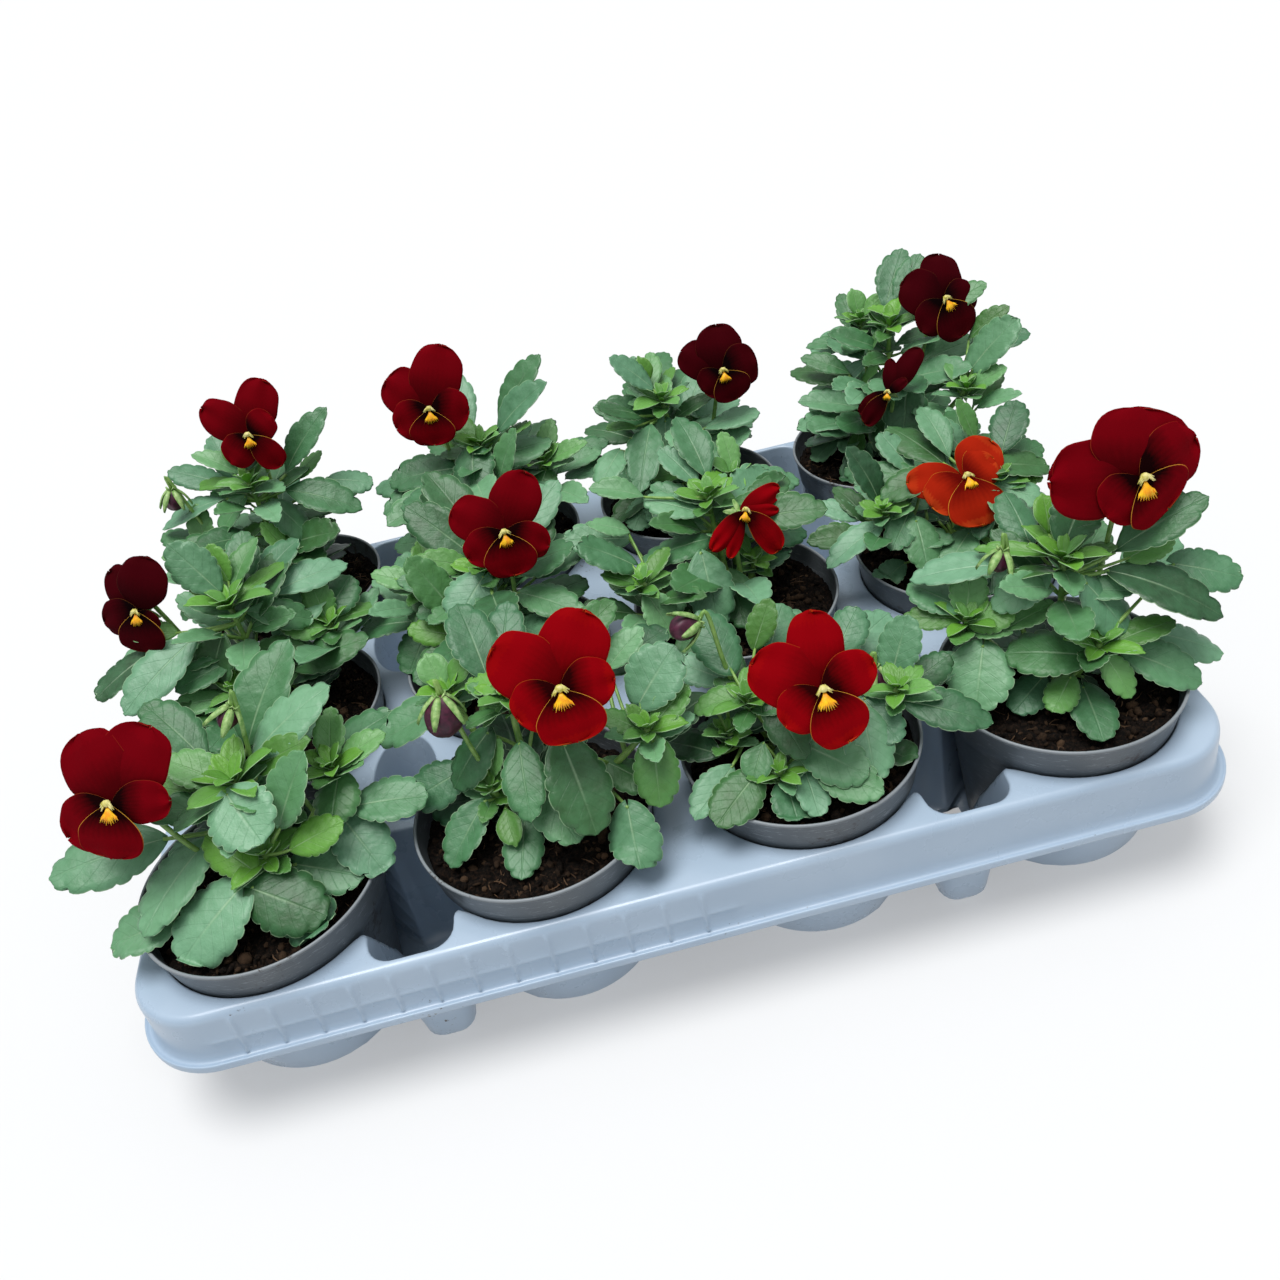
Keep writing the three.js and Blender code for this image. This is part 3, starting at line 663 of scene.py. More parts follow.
def soil_height(x, y, seed):
    """The crumbled surface of the peat: slow swells with clods and grains on them."""
    far = math.hypot(x, y) / SOIL_RADIUS
    swell = 2.0 * noise.noise(Vector((x / 26, y / 26, seed)))
    clods = 3.2 * noise.noise(Vector((x / 6.5, y / 6.5, seed + 9)))
    grains = 2.2 * noise.noise(Vector((x / 2.6, y / 2.6, seed + 5)))
    return SOIL - 0.8 - 2.2 * far ** 3 + swell + clods + grains


def make_peat(place, rng):
    bm = new_mesh()
    centre = pot_centre(place)
    seed = rng.uniform(0, 90)
    bmesh.ops.create_grid(bm, x_segments=SOIL_GRID, y_segments=SOIL_GRID, size=1)
    for vert in bm.verts:
        x, y = vert.co.x, vert.co.y
        # Squeezes the square grid into a disc.
        x, y = x * math.sqrt(1 - y * y / 2), y * math.sqrt(1 - x * x / 2)
        x, y = x * SOIL_RADIUS, y * SOIL_RADIUS
        vert.co = (x, y, soil_height(x, y, seed))
    for radius, height in PLUG_SECTION:
        rim = [e for e in bm.edges if e.is_boundary]
        grown = bmesh.ops.extrude_edge_only(bm, edges=rim)["geom"]
        for vert in (g for g in grown if isinstance(g, bmesh.types.BMVert)):
            flat = Vector((vert.co.x, vert.co.y)).normalized() * radius
            vert.co = (flat.x, flat.y, height)
    rim = [e for e in bm.edges if e.is_boundary]
    bmesh.ops.triangle_fill(bm, use_beauty=True, edges=rim)
    bmesh.ops.recalc_face_normals(bm, faces=bm.faces)
    bmesh.ops.translate(bm, verts=bm.verts, vec=centre)
    finish_piece("peat_" + place, bm, [PEAT], ["soil_" + place])

    bm = new_mesh()
    for _ in range(CRUMBS):
        far, turn = (SOIL_RADIUS - 3) * math.sqrt(rng.random()), rng.uniform(0, 2 * math.pi)
        x, y = far * math.cos(turn), far * math.sin(turn)
        size = rng.uniform(0.6, 1.5) + 1.8 * rng.random() ** 4
        shade = 0.5 * rng.random() ** 3
        where = centre + Vector((x, y, soil_height(x, y, seed) + 0.2 * size))
        way = Matrix.Translation(where) @ Matrix.Rotation(rng.uniform(0, 6), 4, "X") \
            @ Matrix.Rotation(rng.uniform(0, 6), 4, "Z") \
            @ Matrix.Diagonal([size * rng.uniform(0.35, 1.6) for _ in range(3)] + [1])
        part = new_mesh()
        bmesh.ops.create_icosphere(part, subdivisions=1, radius=1, matrix=way)
        for vert in part.verts:
            vert[part.verts.layers.float["tone"]] = shade
        join(bm, part)
    for _ in range(FIBRES):
        far, turn = (SOIL_RADIUS - 6) * math.sqrt(rng.random()), rng.uniform(0, 2 * math.pi)
        way = rng.uniform(0, 2 * math.pi)
        half = Vector((math.cos(way), math.sin(way), 0)) * rng.uniform(2, 5.5)
        middle = Vector((far * math.cos(turn), far * math.sin(turn), 0))
        middle.z = soil_height(middle.x, middle.y, seed) + 0.7
        bow = Vector((half.y, -half.x, 3)) * rng.uniform(-0.5, 0.5)
        path = bowed_path(middle - half + centre, middle + half + centre, bow, 3)
        sweep_tube(bm, path, [0.28, 0.34, 0.3, 0.18], 4, rng.uniform(0.3, 1.0))
    finish_piece("peat_crumbs_" + place, bm, [PEAT])


# ---------------------------------------------------------------- Leaves
TOOTH_ROWS, TOOTH_DEPTH = 5, 0.1
SHOULDER = 0.5                            # the share of a blade's rows that lie before its widest place
FINE, COARSE = (6, 32), (4, 11)           # rows of faces across and along a blade
BROAD, MEDIUM = 0.78, 0.6                 # least width over length of a low, and of a middle leaf
GROWN_LENGTH = 20                         # a shorter leaf is a young one
LEAF_THICKNESS = 0.35
# Blade: width over length, where it is widest, how fast it widens and narrows, heart-shaped base, fold,
# bow, youth, and grid.
LEAF_KINDS = {
    "low": (0.86, 0.47, 0.50, 0.92, 0.10, (-0.24, 0.14), (0.08, 0.22), (0.0, 0.08), FINE),
    "middle": (0.72, 0.49, 0.70, 1.05, 0.03, (-0.12, 0.30), (0.10, 0.30), (0.0, 0.2), FINE),
    "high": (0.58, 0.53, 1.00, 1.2, 0.0, (0.08, 0.32), (0.14, 0.34), (0.15, 0.45), FINE),
    "young": (0.50, 0.56, 1.20, 1.2, 0.0, (0.2, 0.5), (0.1, 0.35), (0.6, 1.0), COARSE),
    "stipule": (0.30, 0.55, 1.20, 1.3, 0.0, (0.1, 0.4), (0.1, 0.3), (0.7, 1.0), COARSE),
}


def new_leaf(rng, kind, length):
    slim, widest, base, tip, heart, fold, bow, youth, grid = LEAF_KINDS[kind]
    return {
        "length": length, "width": length * slim * rng.uniform(0.9, 1.1), "widest": widest,
        "base": base, "tip": tip, "heart": heart, "fold": rng.uniform(*fold),
        "wave": rng.uniform(0.02, 0.10),
        "phase": rng.uniform(0, 6), "bow": length * rng.uniform(*bow), "youth": rng.uniform(*youth),
        "tone": rng.uniform(0.02, 0.78), "grid": grid,
    }


def blade_row(t, widest, base, tip):
    """How far along a blade its row t lies, and its half-width there: both from 0 to 1."""
    if t < SHOULDER:
        s = t / SHOULDER
        return widest * s, max(0.05, math.sin(math.pi / 2 * s) ** base)
    turn = math.pi / 2 * (t - SHOULDER) / (1 - SHOULDER)
    return widest + (1 - widest) * math.sin(turn), max(0.04, math.cos(turn) ** tip)


OVER_SOIL, OVER_RIM = 1.5, 1.2            # how far a leaf keeps off the peat, and off a pot's rim
INSIDE_RIM, PAST_RIM, CLIMB = 50, 68, 5   # from a pot's axis, and how far a leaf takes to climb the rim
DROOP, DEEPEST_DROOP = 0.9, 12
NEXT_POT, NEXT_POT_FADE = 64, 12          # how near its axis no leaf droops, and how soon all may


def rest_on(point, centre):
    """Lifts a point that would sink into the peat or cut through a pot's rim."""
    far = math.hypot(point.x - centre.x, point.y - centre.y)
    next_pot = min(math.hypot(point.x - other.x, point.y - other.y)
                   for other in POT_CENTRES if (other - centre).length > 1)
    if far < INSIDE_RIM:
        lowest = SOIL + OVER_SOIL
    elif far < PAST_RIM:
        climbed = min(1, (far - INSIDE_RIM) / CLIMB)
        lowest = SOIL + OVER_SOIL + (RIM + OVER_RIM - SOIL - OVER_SOIL) * climbed
    else:
        # Past the rim a leaf may droop, unless it already lies over the next pot.
        free = min(1, max(0, (next_pot - NEXT_POT) / NEXT_POT_FADE))
        lowest = RIM + OVER_RIM - min(DEEPEST_DROOP, DROOP * (far - PAST_RIM)) * free
    if point.z < lowest:
        point.z = lowest + 0.1 * (point.z - lowest)
    return point


def blade(bm, leaf, matrix, centre):
    """One leaf blade: a grid drawn out to a rounded, toothed outline, folded, bowed, and put in place."""
    part = new_mesh()
    uv_layer = part.loops.layers.uv["blade"]
    youth, tone = part.verts.layers.float["youth"], part.verts.layers.float["tone"]
    across, along = leaf["grid"]
    bmesh.ops.create_grid(part, x_segments=across, y_segments=along, size=1)
    for face in part.faces:
        for loop in face.loops:
            v = blade_row((loop.vert.co.y + 1) / 2, leaf["widest"], leaf["base"], leaf["tip"])[0]
            loop[uv_layer].uv = ((loop.vert.co.x + 1) / 2, v)
    length, half = leaf["length"], leaf["width"] / 2
    for vert in part.verts:
        u, row = vert.co.x, round((vert.co.y + 1) / 2 * along)
        v, swell = blade_row(row / along, leaf["widest"], leaf["base"], leaf["tip"])
        side = abs(u)
        # Shallow round teeth, with a sharp nick between each and the next.
        nick = (1 - math.sin(math.pi * (row % TOOTH_ROWS) / TOOTH_ROWS)) ** 1.6
        pull = 1 - TOOTH_DEPTH * side ** 5 * nick * (TOOTH_ROWS < row < along)
        x = half * swell * u * pull
        y = length * (v * pull + 0.4 * (1 - pull) - leaf["heart"] * (1 - v) ** 5 * side ** 1.5)
        quilt = 0.006 * length * math.sin(2 * math.pi * (6 * v - 1.9 * side)) * side * (1 - side) * 4
        wave = leaf["wave"] * half * math.sin(5.5 * v + leaf["phase"]) * u * side
        z = leaf["fold"] * side ** 1.3 * half * swell + quilt + wave - leaf["bow"] * v * v
        vert.co = rest_on(matrix @ Vector((x, y, z)), centre)
        vert[youth], vert[tone] = leaf["youth"], leaf["tone"]
    join(bm, part)


LIGHT = Vector((0.0, -0.32, 0.95)).normalized()     # the way the grown leaves have turned their faces
SIGHT_SHARES = (0.15, 0.4, 0.65, 0.9)     # along a blade, where it is tested against the line of sight
SIGHT_CLEAR = 0.42                        # of a flower's width, kept free round that line
# The middle and back rows' peat stays bare where a leaf's tip would lie between these two bearings from
# the pot's axis, less than this high over the rim, and farther out than this.
BARE_FROM, BARE_TO, BARE_BELOW, BARE_PAST = -80, 15, 30, 24


def hides_flower(base, tip):
    """Whether a blade would stand between a flower and the camera."""
    camera = CAMERA_FROM_RIMS + Vector((0, 0, RIM))
    for place, head, _, _, _, width, _ in FLOWERS.values():
        head = pot_centre(place) + Vector(head)
        sight = (camera - head).normalized()
        for share in SIGHT_SHARES:
            off = base.lerp(tip, share) - head
            aside = (off - sight * off.dot(sight)).length
            if off.dot(sight) > 0 and aside < SIGHT_CLEAR * width:
                return True
    return False


def bares_soil(plant, tip):
    """Whether a blade lies low over the peat that the middle and back rows leave bare, near right."""
    off = tip - plant["centre"]
    turn = math.degrees(math.atan2(off.y, off.x))
    is_over = BARE_FROM < turn < BARE_TO and off.xy.length > BARE_PAST
    return plant["open_side"] and is_over and tip.z < RIM + BARE_BELOW


def add_leaf(plant, base, tip, width, youth, stalk_from):
    """A blade from base to tip, and the stalk that carries it."""
    rng, centre = plant["rng"], plant["centre"]
    if hides_flower(base, tip) or bares_soil(plant, tip):
        return
    span = tip - base
    length = span.length
    kind = "low" if width > BROAD * length else "middle" if width > MEDIUM * length else "high"
    leaf = new_leaf(rng, kind if length > GROWN_LENGTH else "young", length * 1.04)
    leaf["width"], leaf["youth"] = 0.94 * width, min(1.0, youth + rng.uniform(0, 0.12))
    along = span.normalized()
    face = (LIGHT - along * LIGHT.dot(along)).normalized()
    matrix = Matrix((along.cross(face), along, face)).transposed().to_4x4()
    matrix.translation = base
    # The blade leaves its stalk a little steeper than the line to its tip, and bows down to it.
    matrix = matrix @ Matrix.Rotation(math.asin(leaf["bow"] / leaf["length"]), 4, "X") \
        @ Matrix.Rotation(math.radians(rng.uniform(-14, 14)), 4, "Y")
    blade(plant["blades"], leaf, matrix, centre)
    thick = 0.55 + 0.013 * length
    out = Vector((span.x, span.y, 0)).normalized()
    path = bowed_path(stalk_from, rest_on(base + out * 0.8, centre), Vector((0, 0, -2)) - out * 2, 4)
    sweep_tube(plant["stalks"], path, [thick * k for k in (1.25, 1.1, 1.0, 0.9, 0.8)], 6)


def young_leaf(plant, kind, base, azimuth, rise, length):
    rng = plant["rng"]
    turn, lift = math.radians(azimuth), math.radians(rise)
    matrix = Matrix.Translation(base) @ Matrix.Rotation(turn - math.pi / 2, 4, "Z") \
        @ Matrix.Rotation(lift, 4, "X") @ Matrix.Rotation(math.radians(rng.uniform(-15, 15)), 4, "Y")
    blade(plant["blades"], new_leaf(rng, kind, length), matrix, plant["centre"])


def add_tuft(plant, tip, size):
    """The young leaves at the tip of a shoot, from half-grown to barely open, with their stipules."""
    rng = plant["rng"]
    spin = rng.uniform(0, 360)
    for number in range(4):
        young_leaf(plant, "high", tip - Vector((0, 0, 7)), spin + 40 + 90 * number + rng.uniform(-20, 20),
                   rng.uniform(20, 42), size * rng.uniform(19, 27))
    for number in range(5):
        young_leaf(plant, "young", tip - Vector((0, 0, 3)), spin + 72 * number + rng.uniform(-14, 14),
                   rng.uniform(24, 48), size * rng.uniform(17, 24))
    for number in range(5):
        young_leaf(plant, "young", tip, spin + 36 + 72 * number, rng.uniform(48, 66),
                   size * rng.uniform(9, 14))
    for number in range(6):
        young_leaf(plant, "stipule", tip - Vector((0, 0, rng.uniform(2, 12))), spin + 60 * number,
                   rng.uniform(30, 75), size * rng.uniform(8, 12))


# The front plants' leaves, from the pot's axis and the rim's height: where the blade starts (x, y, z),
# where it ends (x, y, z), its width, and its youth. Then their shoots' tips (x, y, z) and size.
LEAVES = {
    "a1": [
        (-1, -20, 14, -33, -40, -4, 38, 0.05), (3, -23, 14, 33, -40, 2, 34, 0.05),
        (-17, 8, 22, -49, -25, 8, 33, 0.0), (-36, 9, 28, -87, 2, 26, 34, 0.0),
        (-38, -21, 4, -68, -22, -2, 28, 0.05), (20, -17, 4, 28, -48, -6, 30, 0.0),
        (21, -9, 8, 51, -22, 2, 28, 0.0), (46, 5, 18, 62, -20, 0, 30, 0.0),
        (24, -13, 22, 50, -12, 28, 20, 0.7), (5, -17, 20, -14, 0, 30, 22, 0.7),
        (3, 4, 50, 16, -20, 38, 36, 0.0), (22, -7, 32, 43, 4, 62, 27, 0.15),
        (12, 20, 45, 43, 15, 58, 20, 0.4), (13, 25, 50, 54, 38, 70, 31, 0.0),
        (10, 36, 50, 38, 67, 78, 32, 0.0), (-12, 35, 48, -35, 65, 66, 27, 0.0),
        (-7, 14, 40, -37, 27, 44, 20, 0.5), (-2, 18, 45, -27, 33, 55, 22, 0.5),
        (50, 17, 34, 44, -4, 24, 26, 0.1), (50, 20, 36, 74, 26, 44, 18, 0.4),
        (56, 5, 22, 88, 2, 20, 28, 0.0), (46, 20, 36, 52, 44, 52, 17, 0.5),
        (-20, 28, 30, -56, 50, 36, 30, 0.0), (18, 40, 30, 30, 78, 36, 32, 0.0),
        (40, 38, 26, 74, 58, 30, 28, 0.0),
    ],
    "a2": [
        (-21, -3, 12, -43, -22, -5, 23, 0.05), (-12, -9, 10, -11, -27, 2, 14, 0.4),
        (-4, -11, 3, -11, -39, -7, 22, 0.0), (3, 0, 40, 0, -31, 22, 23, 0.0),
        (23, -10, 42, 29, -40, 13, 33, 0.0), (6, -8, 22, 18, -36, 5, 28, 0.1),
        (-11, 13, 40, -33, 5, 20, 25, 0.0), (-20, 35, 46, -64, 34, 34, 29, 0.05),
        (-5, 27, 60, -10, 62, 80, 27, 0.0), (2, 30, 60, 12, 60, 76, 23, 0.0),
        (5, 14, 62, -15, 27, 60, 15, 0.8), (2, 11, 58, -12, 14, 46, 16, 0.5),
        (62, 4, 42, 84, 16, 60, 33, 0.0), (64, -14, 34, 60, -34, 12, 24, 0.25),
        (60, -9, 36, 44, 4, 42, 15, 0.4), (66, -6, 36, 86, 2, 46, 17, 0.4),
        (45, -32, 14, 43, -55, -7, 28, 0.05), (52, 28, 48, 72, 36, 60, 18, 0.2),
        (50, 34, 40, 84, 50, 44, 27, 0.0), (36, 33, 62, 62, 47, 70, 19, 0.2),
        (-28, 37, 52, -33, 50, 66, 17, 0.5), (-24, 36, 54, -14, 42, 64, 14, 0.5),
        (-16, 4, 18, -7, 8, 38, 13, 0.6), (40, -6, 20, 58, -22, 14, 22, 0.1),
        (-26, 14, 20, -58, 10, 10, 26, 0.0), (10, 30, 26, 14, 70, 34, 30, 0.0),
    ],
    "a3": [
        (-29, -28, 9, -52, -45, 1, 26, 0.05), (-38, -18, 8, -60, -36, -2, 22, 0.0),
        (-16, -32, 3, -16, -53, -5, 22, 0.0), (-6, -31, 6, -6, -52, -2, 18, 0.0),
        (-1, -33, 8, 23, -53, 3, 24, 0.1), (-3, -24, 16, 18, -46, 9, 27, 0.05),
        (27, -20, 24, 23, -46, 6, 26, 0.05), (30, -13, 26, 38, -35, 15, 22, 0.0),
        (-14, -4, 34, -8, -32, 18, 21, 0.0), (-21, -17, 18, -31, -30, 8, 17, 0.1),
        (-40, 11, 30, -71, 4, 19, 24, 0.0), (-42, -10, 10, -64, 10, 7, 20, 0.0),
        (-24, 2, 34, -48, 2, 30, 17, 0.5), (-30, 20, 30, -50, 36, 34, 22, 0.0),
        (-27, 12, 42, -34, 40, 58, 26, 0.0), (-13, 20, 44, 0, 30, 62, 16, 0.3),
        (-4, 22, 42, 8, 40, 50, 22, 0.0), (26, 12, 36, 42, 28, 46, 23, 0.0),
        (47, -5, 28, 60, 8, 50, 23, 0.0), (44, -18, 24, 80, -38, 14, 23, 0.0),
        (58, -5, 20, 78, 0, 26, 18, 0.0), (34, -22, 0, 48, -34, -4, 18, 0.0),
        (8, 26, 26, 10, 62, 30, 28, 0.0), (-18, 26, 24, -44, 58, 28, 27, 0.0),
        (30, 20, 24, 62, 40, 26, 26, 0.0),
    ],
    "a4": [
        (-38, 6, 22, -51, -14, 1, 36, 0.1), (4, -17, 0, -1, -46, -7, 25, 0.0),
        (-12, -6, 2, -31, -16, -5, 22, 0.0), (-3, -16, 8, -18, -30, 3, 18, 0.5),
        (2, -18, 22, -28, -2, 20, 31, 0.1), (6, -19, 26, -6, -6, 40, 15, 0.7),
        (12, -18, 20, 17, -34, 4, 16, 0.5), (23, -15, 16, 51, -35, 2, 26, 0.1),
        (16, -17, 24, 45, -18, 30, 18, 0.3), (45, -7, 14, 72, -20, 4, 25, 0.0),
        (22, 3, 52, 61, -25, 36, 31, 0.0), (54, 1, 48, 81, -12, 40, 26, 0.0),
        (27, 8, 58, 66, 3, 78, 26, 0.0), (34, 6, 54, 55, 7, 60, 18, 0.5),
        (6, 15, 66, 24, 30, 86, 27, 0.0), (-4, 32, 58, -4, 58, 70, 23, 0.0),
        (2, 24, 66, 4, 36, 80, 15, 0.7), (1, 21, 62, -18, 44, 76, 18, 0.3),
        (-8, 36, 54, -36, 55, 66, 26, 0.0), (-14, 24, 52, -58, 42, 46, 25, 0.0),
        (2, 12, 60, -28, 36, 58, 11, 0.6), (-3, 11, 54, -29, 12, 38, 22, 0.1),
        (10, 1, 50, 24, -14, 28, 28, 0.0), (-28, 6, 28, -2, 7, 36, 16, 0.3),
        (-40, 16, 30, -22, 8, 36, 19, 0.6), (-42, 20, 30, -69, 29, 29, 16, 0.4),
        (-40, 22, 32, -34, 31, 50, 21, 0.4), (-42, 24, 34, -60, 44, 40, 26, 0.05),
        (-50, 8, 16, -72, 10, 6, 20, 0.0), (20, 34, 34, 36, 68, 38, 30, 0.0),
        (44, 24, 30, 78, 36, 32, 28, 0.0),
    ],
}
SHOOTS = {
    "a1": [(11, -10, 20, 0.9), (48, 19, 38, 0.9), (4, 14, 48, 1.2)],
    "a2": [(-17, 0, 16, 0.7), (63, -9, 37, 0.9), (3, 14, 58, 1.0), (-26, 36, 52, 0.8)],
    "a3": [(-23, -3, 34, 0.9), (-18, -31, 10, 0.7), (-35, -2, 14, 0.7), (46, -17, 30, 0.8)],
    "a4": [(3, 10, 60, 1.2), (10, -17, 26, 0.9), (-41, 18, 30, 0.9)],
}
# Which of the four habits each plant has grown in, mirrored or not, how far turned, its spread and height.
GROWTH = {
    "a1": ("a1", 1, 0, 1.0, 1.0), "a2": ("a2", 1, 0, 1.0, 1.0),
    "a3": ("a3", 1, 0, 1.0, 1.0), "a4": ("a4", 1, 0, 1.0, 1.0),
    "b1": ("a4", -1, 0, 1.0, 1.12), "b2": ("a1", -1, -15, 0.95, 1.0),
    "b3": ("a2", -1, 15, 0.92, 1.05), "b4": ("a3", -1, -15, 0.95, 1.15),
    "c1": ("a4", 1, 20, 0.92, 1.22), "c2": ("a1", 1, -30, 0.9, 1.3),
    "c3": ("a4", -1, 30, 0.88, 1.1), "c4": ("a2", 1, -40, 0.95, 1.35),
}
UNDER_LEAVES = 18
OUTER_LEAVES = {"a": 0, "b": 16, "c": 26}  # the back row's far side is open to view


def add_ring(plant, tip, size):
    """Five grown leaves that stand out all round a shoot, some way under its tip."""
    rng = plant["rng"]
    spin = rng.uniform(0, 360)
    for number in range(5):
        turn = math.radians(spin + 72 * number + rng.uniform(-15, 15))
        out = Vector((math.cos(turn), math.sin(turn), 0))
        base = tip + out * rng.uniform(3, 8) - Vector((0, 0, rng.uniform(12, 22)))
        reach = size * rng.uniform(26, 38)
        add_leaf(plant, base, base + out * reach + Vector((0, 0, reach * rng.uniform(0.0, 0.6))),
                 reach * rng.uniform(0.5, 0.62), 0.1, tip - Vector((0, 0, 22)))


def nearest_joint(joints, base):
    """The place on the shoots, lower than a blade's base, that its stalk leaves from."""
    below = [joint for joint in joints if joint.z < base.z - 1] or joints[:1]
    return min(below, key=lambda joint: (joint - base + Vector((0, 0, 7))).length)


def add_outer_leaves(plant, joints, count):
    """Grown leaves at half height, all round a plant."""
    rng, centre = plant["rng"], plant["centre"]
    for number in range(count):
        turn = math.radians(360 * (number + rng.uniform(-0.3, 0.3)) / count)
        out = Vector((math.cos(turn), math.sin(turn), 0))
        base = centre + out * rng.uniform(8, 20) + Vector((0, 0, RIM + rng.uniform(10, 56)))
        reach = rng.uniform(30, 46)
        tip = base + out * reach + Vector((0, 0, reach * rng.uniform(-0.25, 0.45)))
        add_leaf(plant, base, tip, reach * rng.uniform(0.55, 0.72), 0.05, nearest_joint(joints, base))


def add_under_leaves(plant, size):
    """The old leaves low down inside the plant, long at its back and short at its front, painted dark as
    shade.
    """
    rng, centre = plant["rng"], plant["centre"]
    for number in range(UNDER_LEAVES):
        turn = math.radians(360 * (number + rng.uniform(-0.3, 0.3)) / UNDER_LEAVES)
        out = Vector((math.cos(turn), math.sin(turn), 0))
        at_back = out.y > 0.15
        reach = size * (rng.uniform(40, 54) if at_back else rng.uniform(15, 22))
        low = RIM + (rng.uniform(-4, 8) if at_back else rng.uniform(-5, -1))
        base = centre + out * rng.uniform(6, 14) + Vector((0, 0, low + 6))
        tip = centre + out * reach + Vector((0, 0, low + rng.uniform(-4, 8)))
        leaf = new_leaf(rng, "middle", (tip - base).length)
        # A low tone paints these inner leaves dark: painted shade deep in the plant.
        leaf["tone"], leaf["youth"] = rng.uniform(-0.15, 0.2), 0.0
        # The shortest of them start almost at their tips, so none stands steeper than 64 degrees.
        rise = math.asin(min(0.9, (tip.z - base.z + leaf["bow"]) / leaf["length"]))
        matrix = Matrix.Translation(base) @ Matrix.Rotation(turn - math.pi / 2, 4, "Z") \
            @ Matrix.Rotation(rise, 4, "X") @ Matrix.Rotation(math.radians(rng.uniform(-20, 20)), 4, "Y")
        blade(plant["blades"], leaf, matrix, centre)
        path = bowed_path(centre + Vector((0, 0, SOIL + 2)), base + out, Vector((0, 0, 4)), 3)
        sweep_tube(plant["stalks"], path, [1.2, 1.1, 1.0, 0.9], 5)


def make_plant(place, rng):
    habit, mirror, turn, size, height = GROWTH[place]
    centre = pot_centre(place)
    plant = {"rng": rng, "centre": centre, "blades": new_mesh(), "stalks": new_mesh(),
             "open_side": habit != place}
    way = Matrix.Translation(centre + Vector((0, 0, RIM))) @ Matrix.Rotation(math.radians(turn), 4, "Z") \
        @ Matrix.Diagonal((mirror * size, size, height, 1))
    root = centre + Vector((0, 0, SOIL - 2))
    joints = [root + Vector((0, 0, 5))]
    for x, y, z, tuft in SHOOTS[habit]:
        tip = way @ Vector((x, y, z))
        out = Vector((tip.x - centre.x, tip.y - centre.y, 0))
        path = bowed_path(root + out * 0.12, tip, out * 0.12, 7)
        sweep_tube(plant["stalks"], path, [2.5 - 0.16 * i for i in range(8)], 7)
        joints += path[1:]
        add_tuft(plant, tip, tuft * size)
        if habit != place or tuft > 1:
            add_ring(plant, tip, size)
    for x0, y0, z0, x1, y1, z1, width, youth in LEAVES[habit]:
        base, tip = way @ Vector((x0, y0, z0)), way @ Vector((x1, y1, z1))
        if habit != place:
            tip = base.lerp(tip, 1.02) + Vector([rng.uniform(-4, 4) for _ in range(3)])
            width *= 0.97
        add_leaf(plant, base, tip, width * size, youth, nearest_joint(joints, base))
    add_outer_leaves(plant, joints, OUTER_LEAVES[place[0]])
    add_under_leaves(plant, size)
    finish_piece("leaves_" + place, plant["blades"], [LEAF, LEAF_BACK], ["foliage_" + place],
                 thickness=LEAF_THICKNESS)
    finish_piece("stems_" + place, plant["stalks"], [STEM])


# ---------------------------------------------------------------- Flowers
PETAL_ACROSS, PETAL_ALONG = 26, 18
PETAL_THICKNESS, EYE_THICKNESS, SEPAL_THICKNESS = 0.3, 0.5, 0.4
STEM_FOOT_SHARE = 0.28                    # how far out a stem's foot stands, as a share of its head's way
STEM_FOOT_LEAST = 9                       # and never nearer to the pot's axis than this
# What each petal is like, from the back to the front: where it is widest, fullness of its shoulders and
# of its tip, layer, bend back, blotch, and gilding. Two upper petals, two at the sides, and the lip.
PETAL_KINDS = [
    (0.50, 0.62, 0.68, 0.0, 0.10, 0.55, 0.1), (0.50, 0.62, 0.68, 1.3, 0.10, 0.55, 0.1),
    (0.52, 0.68, 0.70, 2.9, 0.10, 1.0, 0.2), (0.52, 0.68, 0.70, 3.2, 0.10, 1.0, 0.2),
    (0.62, 0.85, 0.62, 5.2, 0.12, 1.0, 1.0),
]
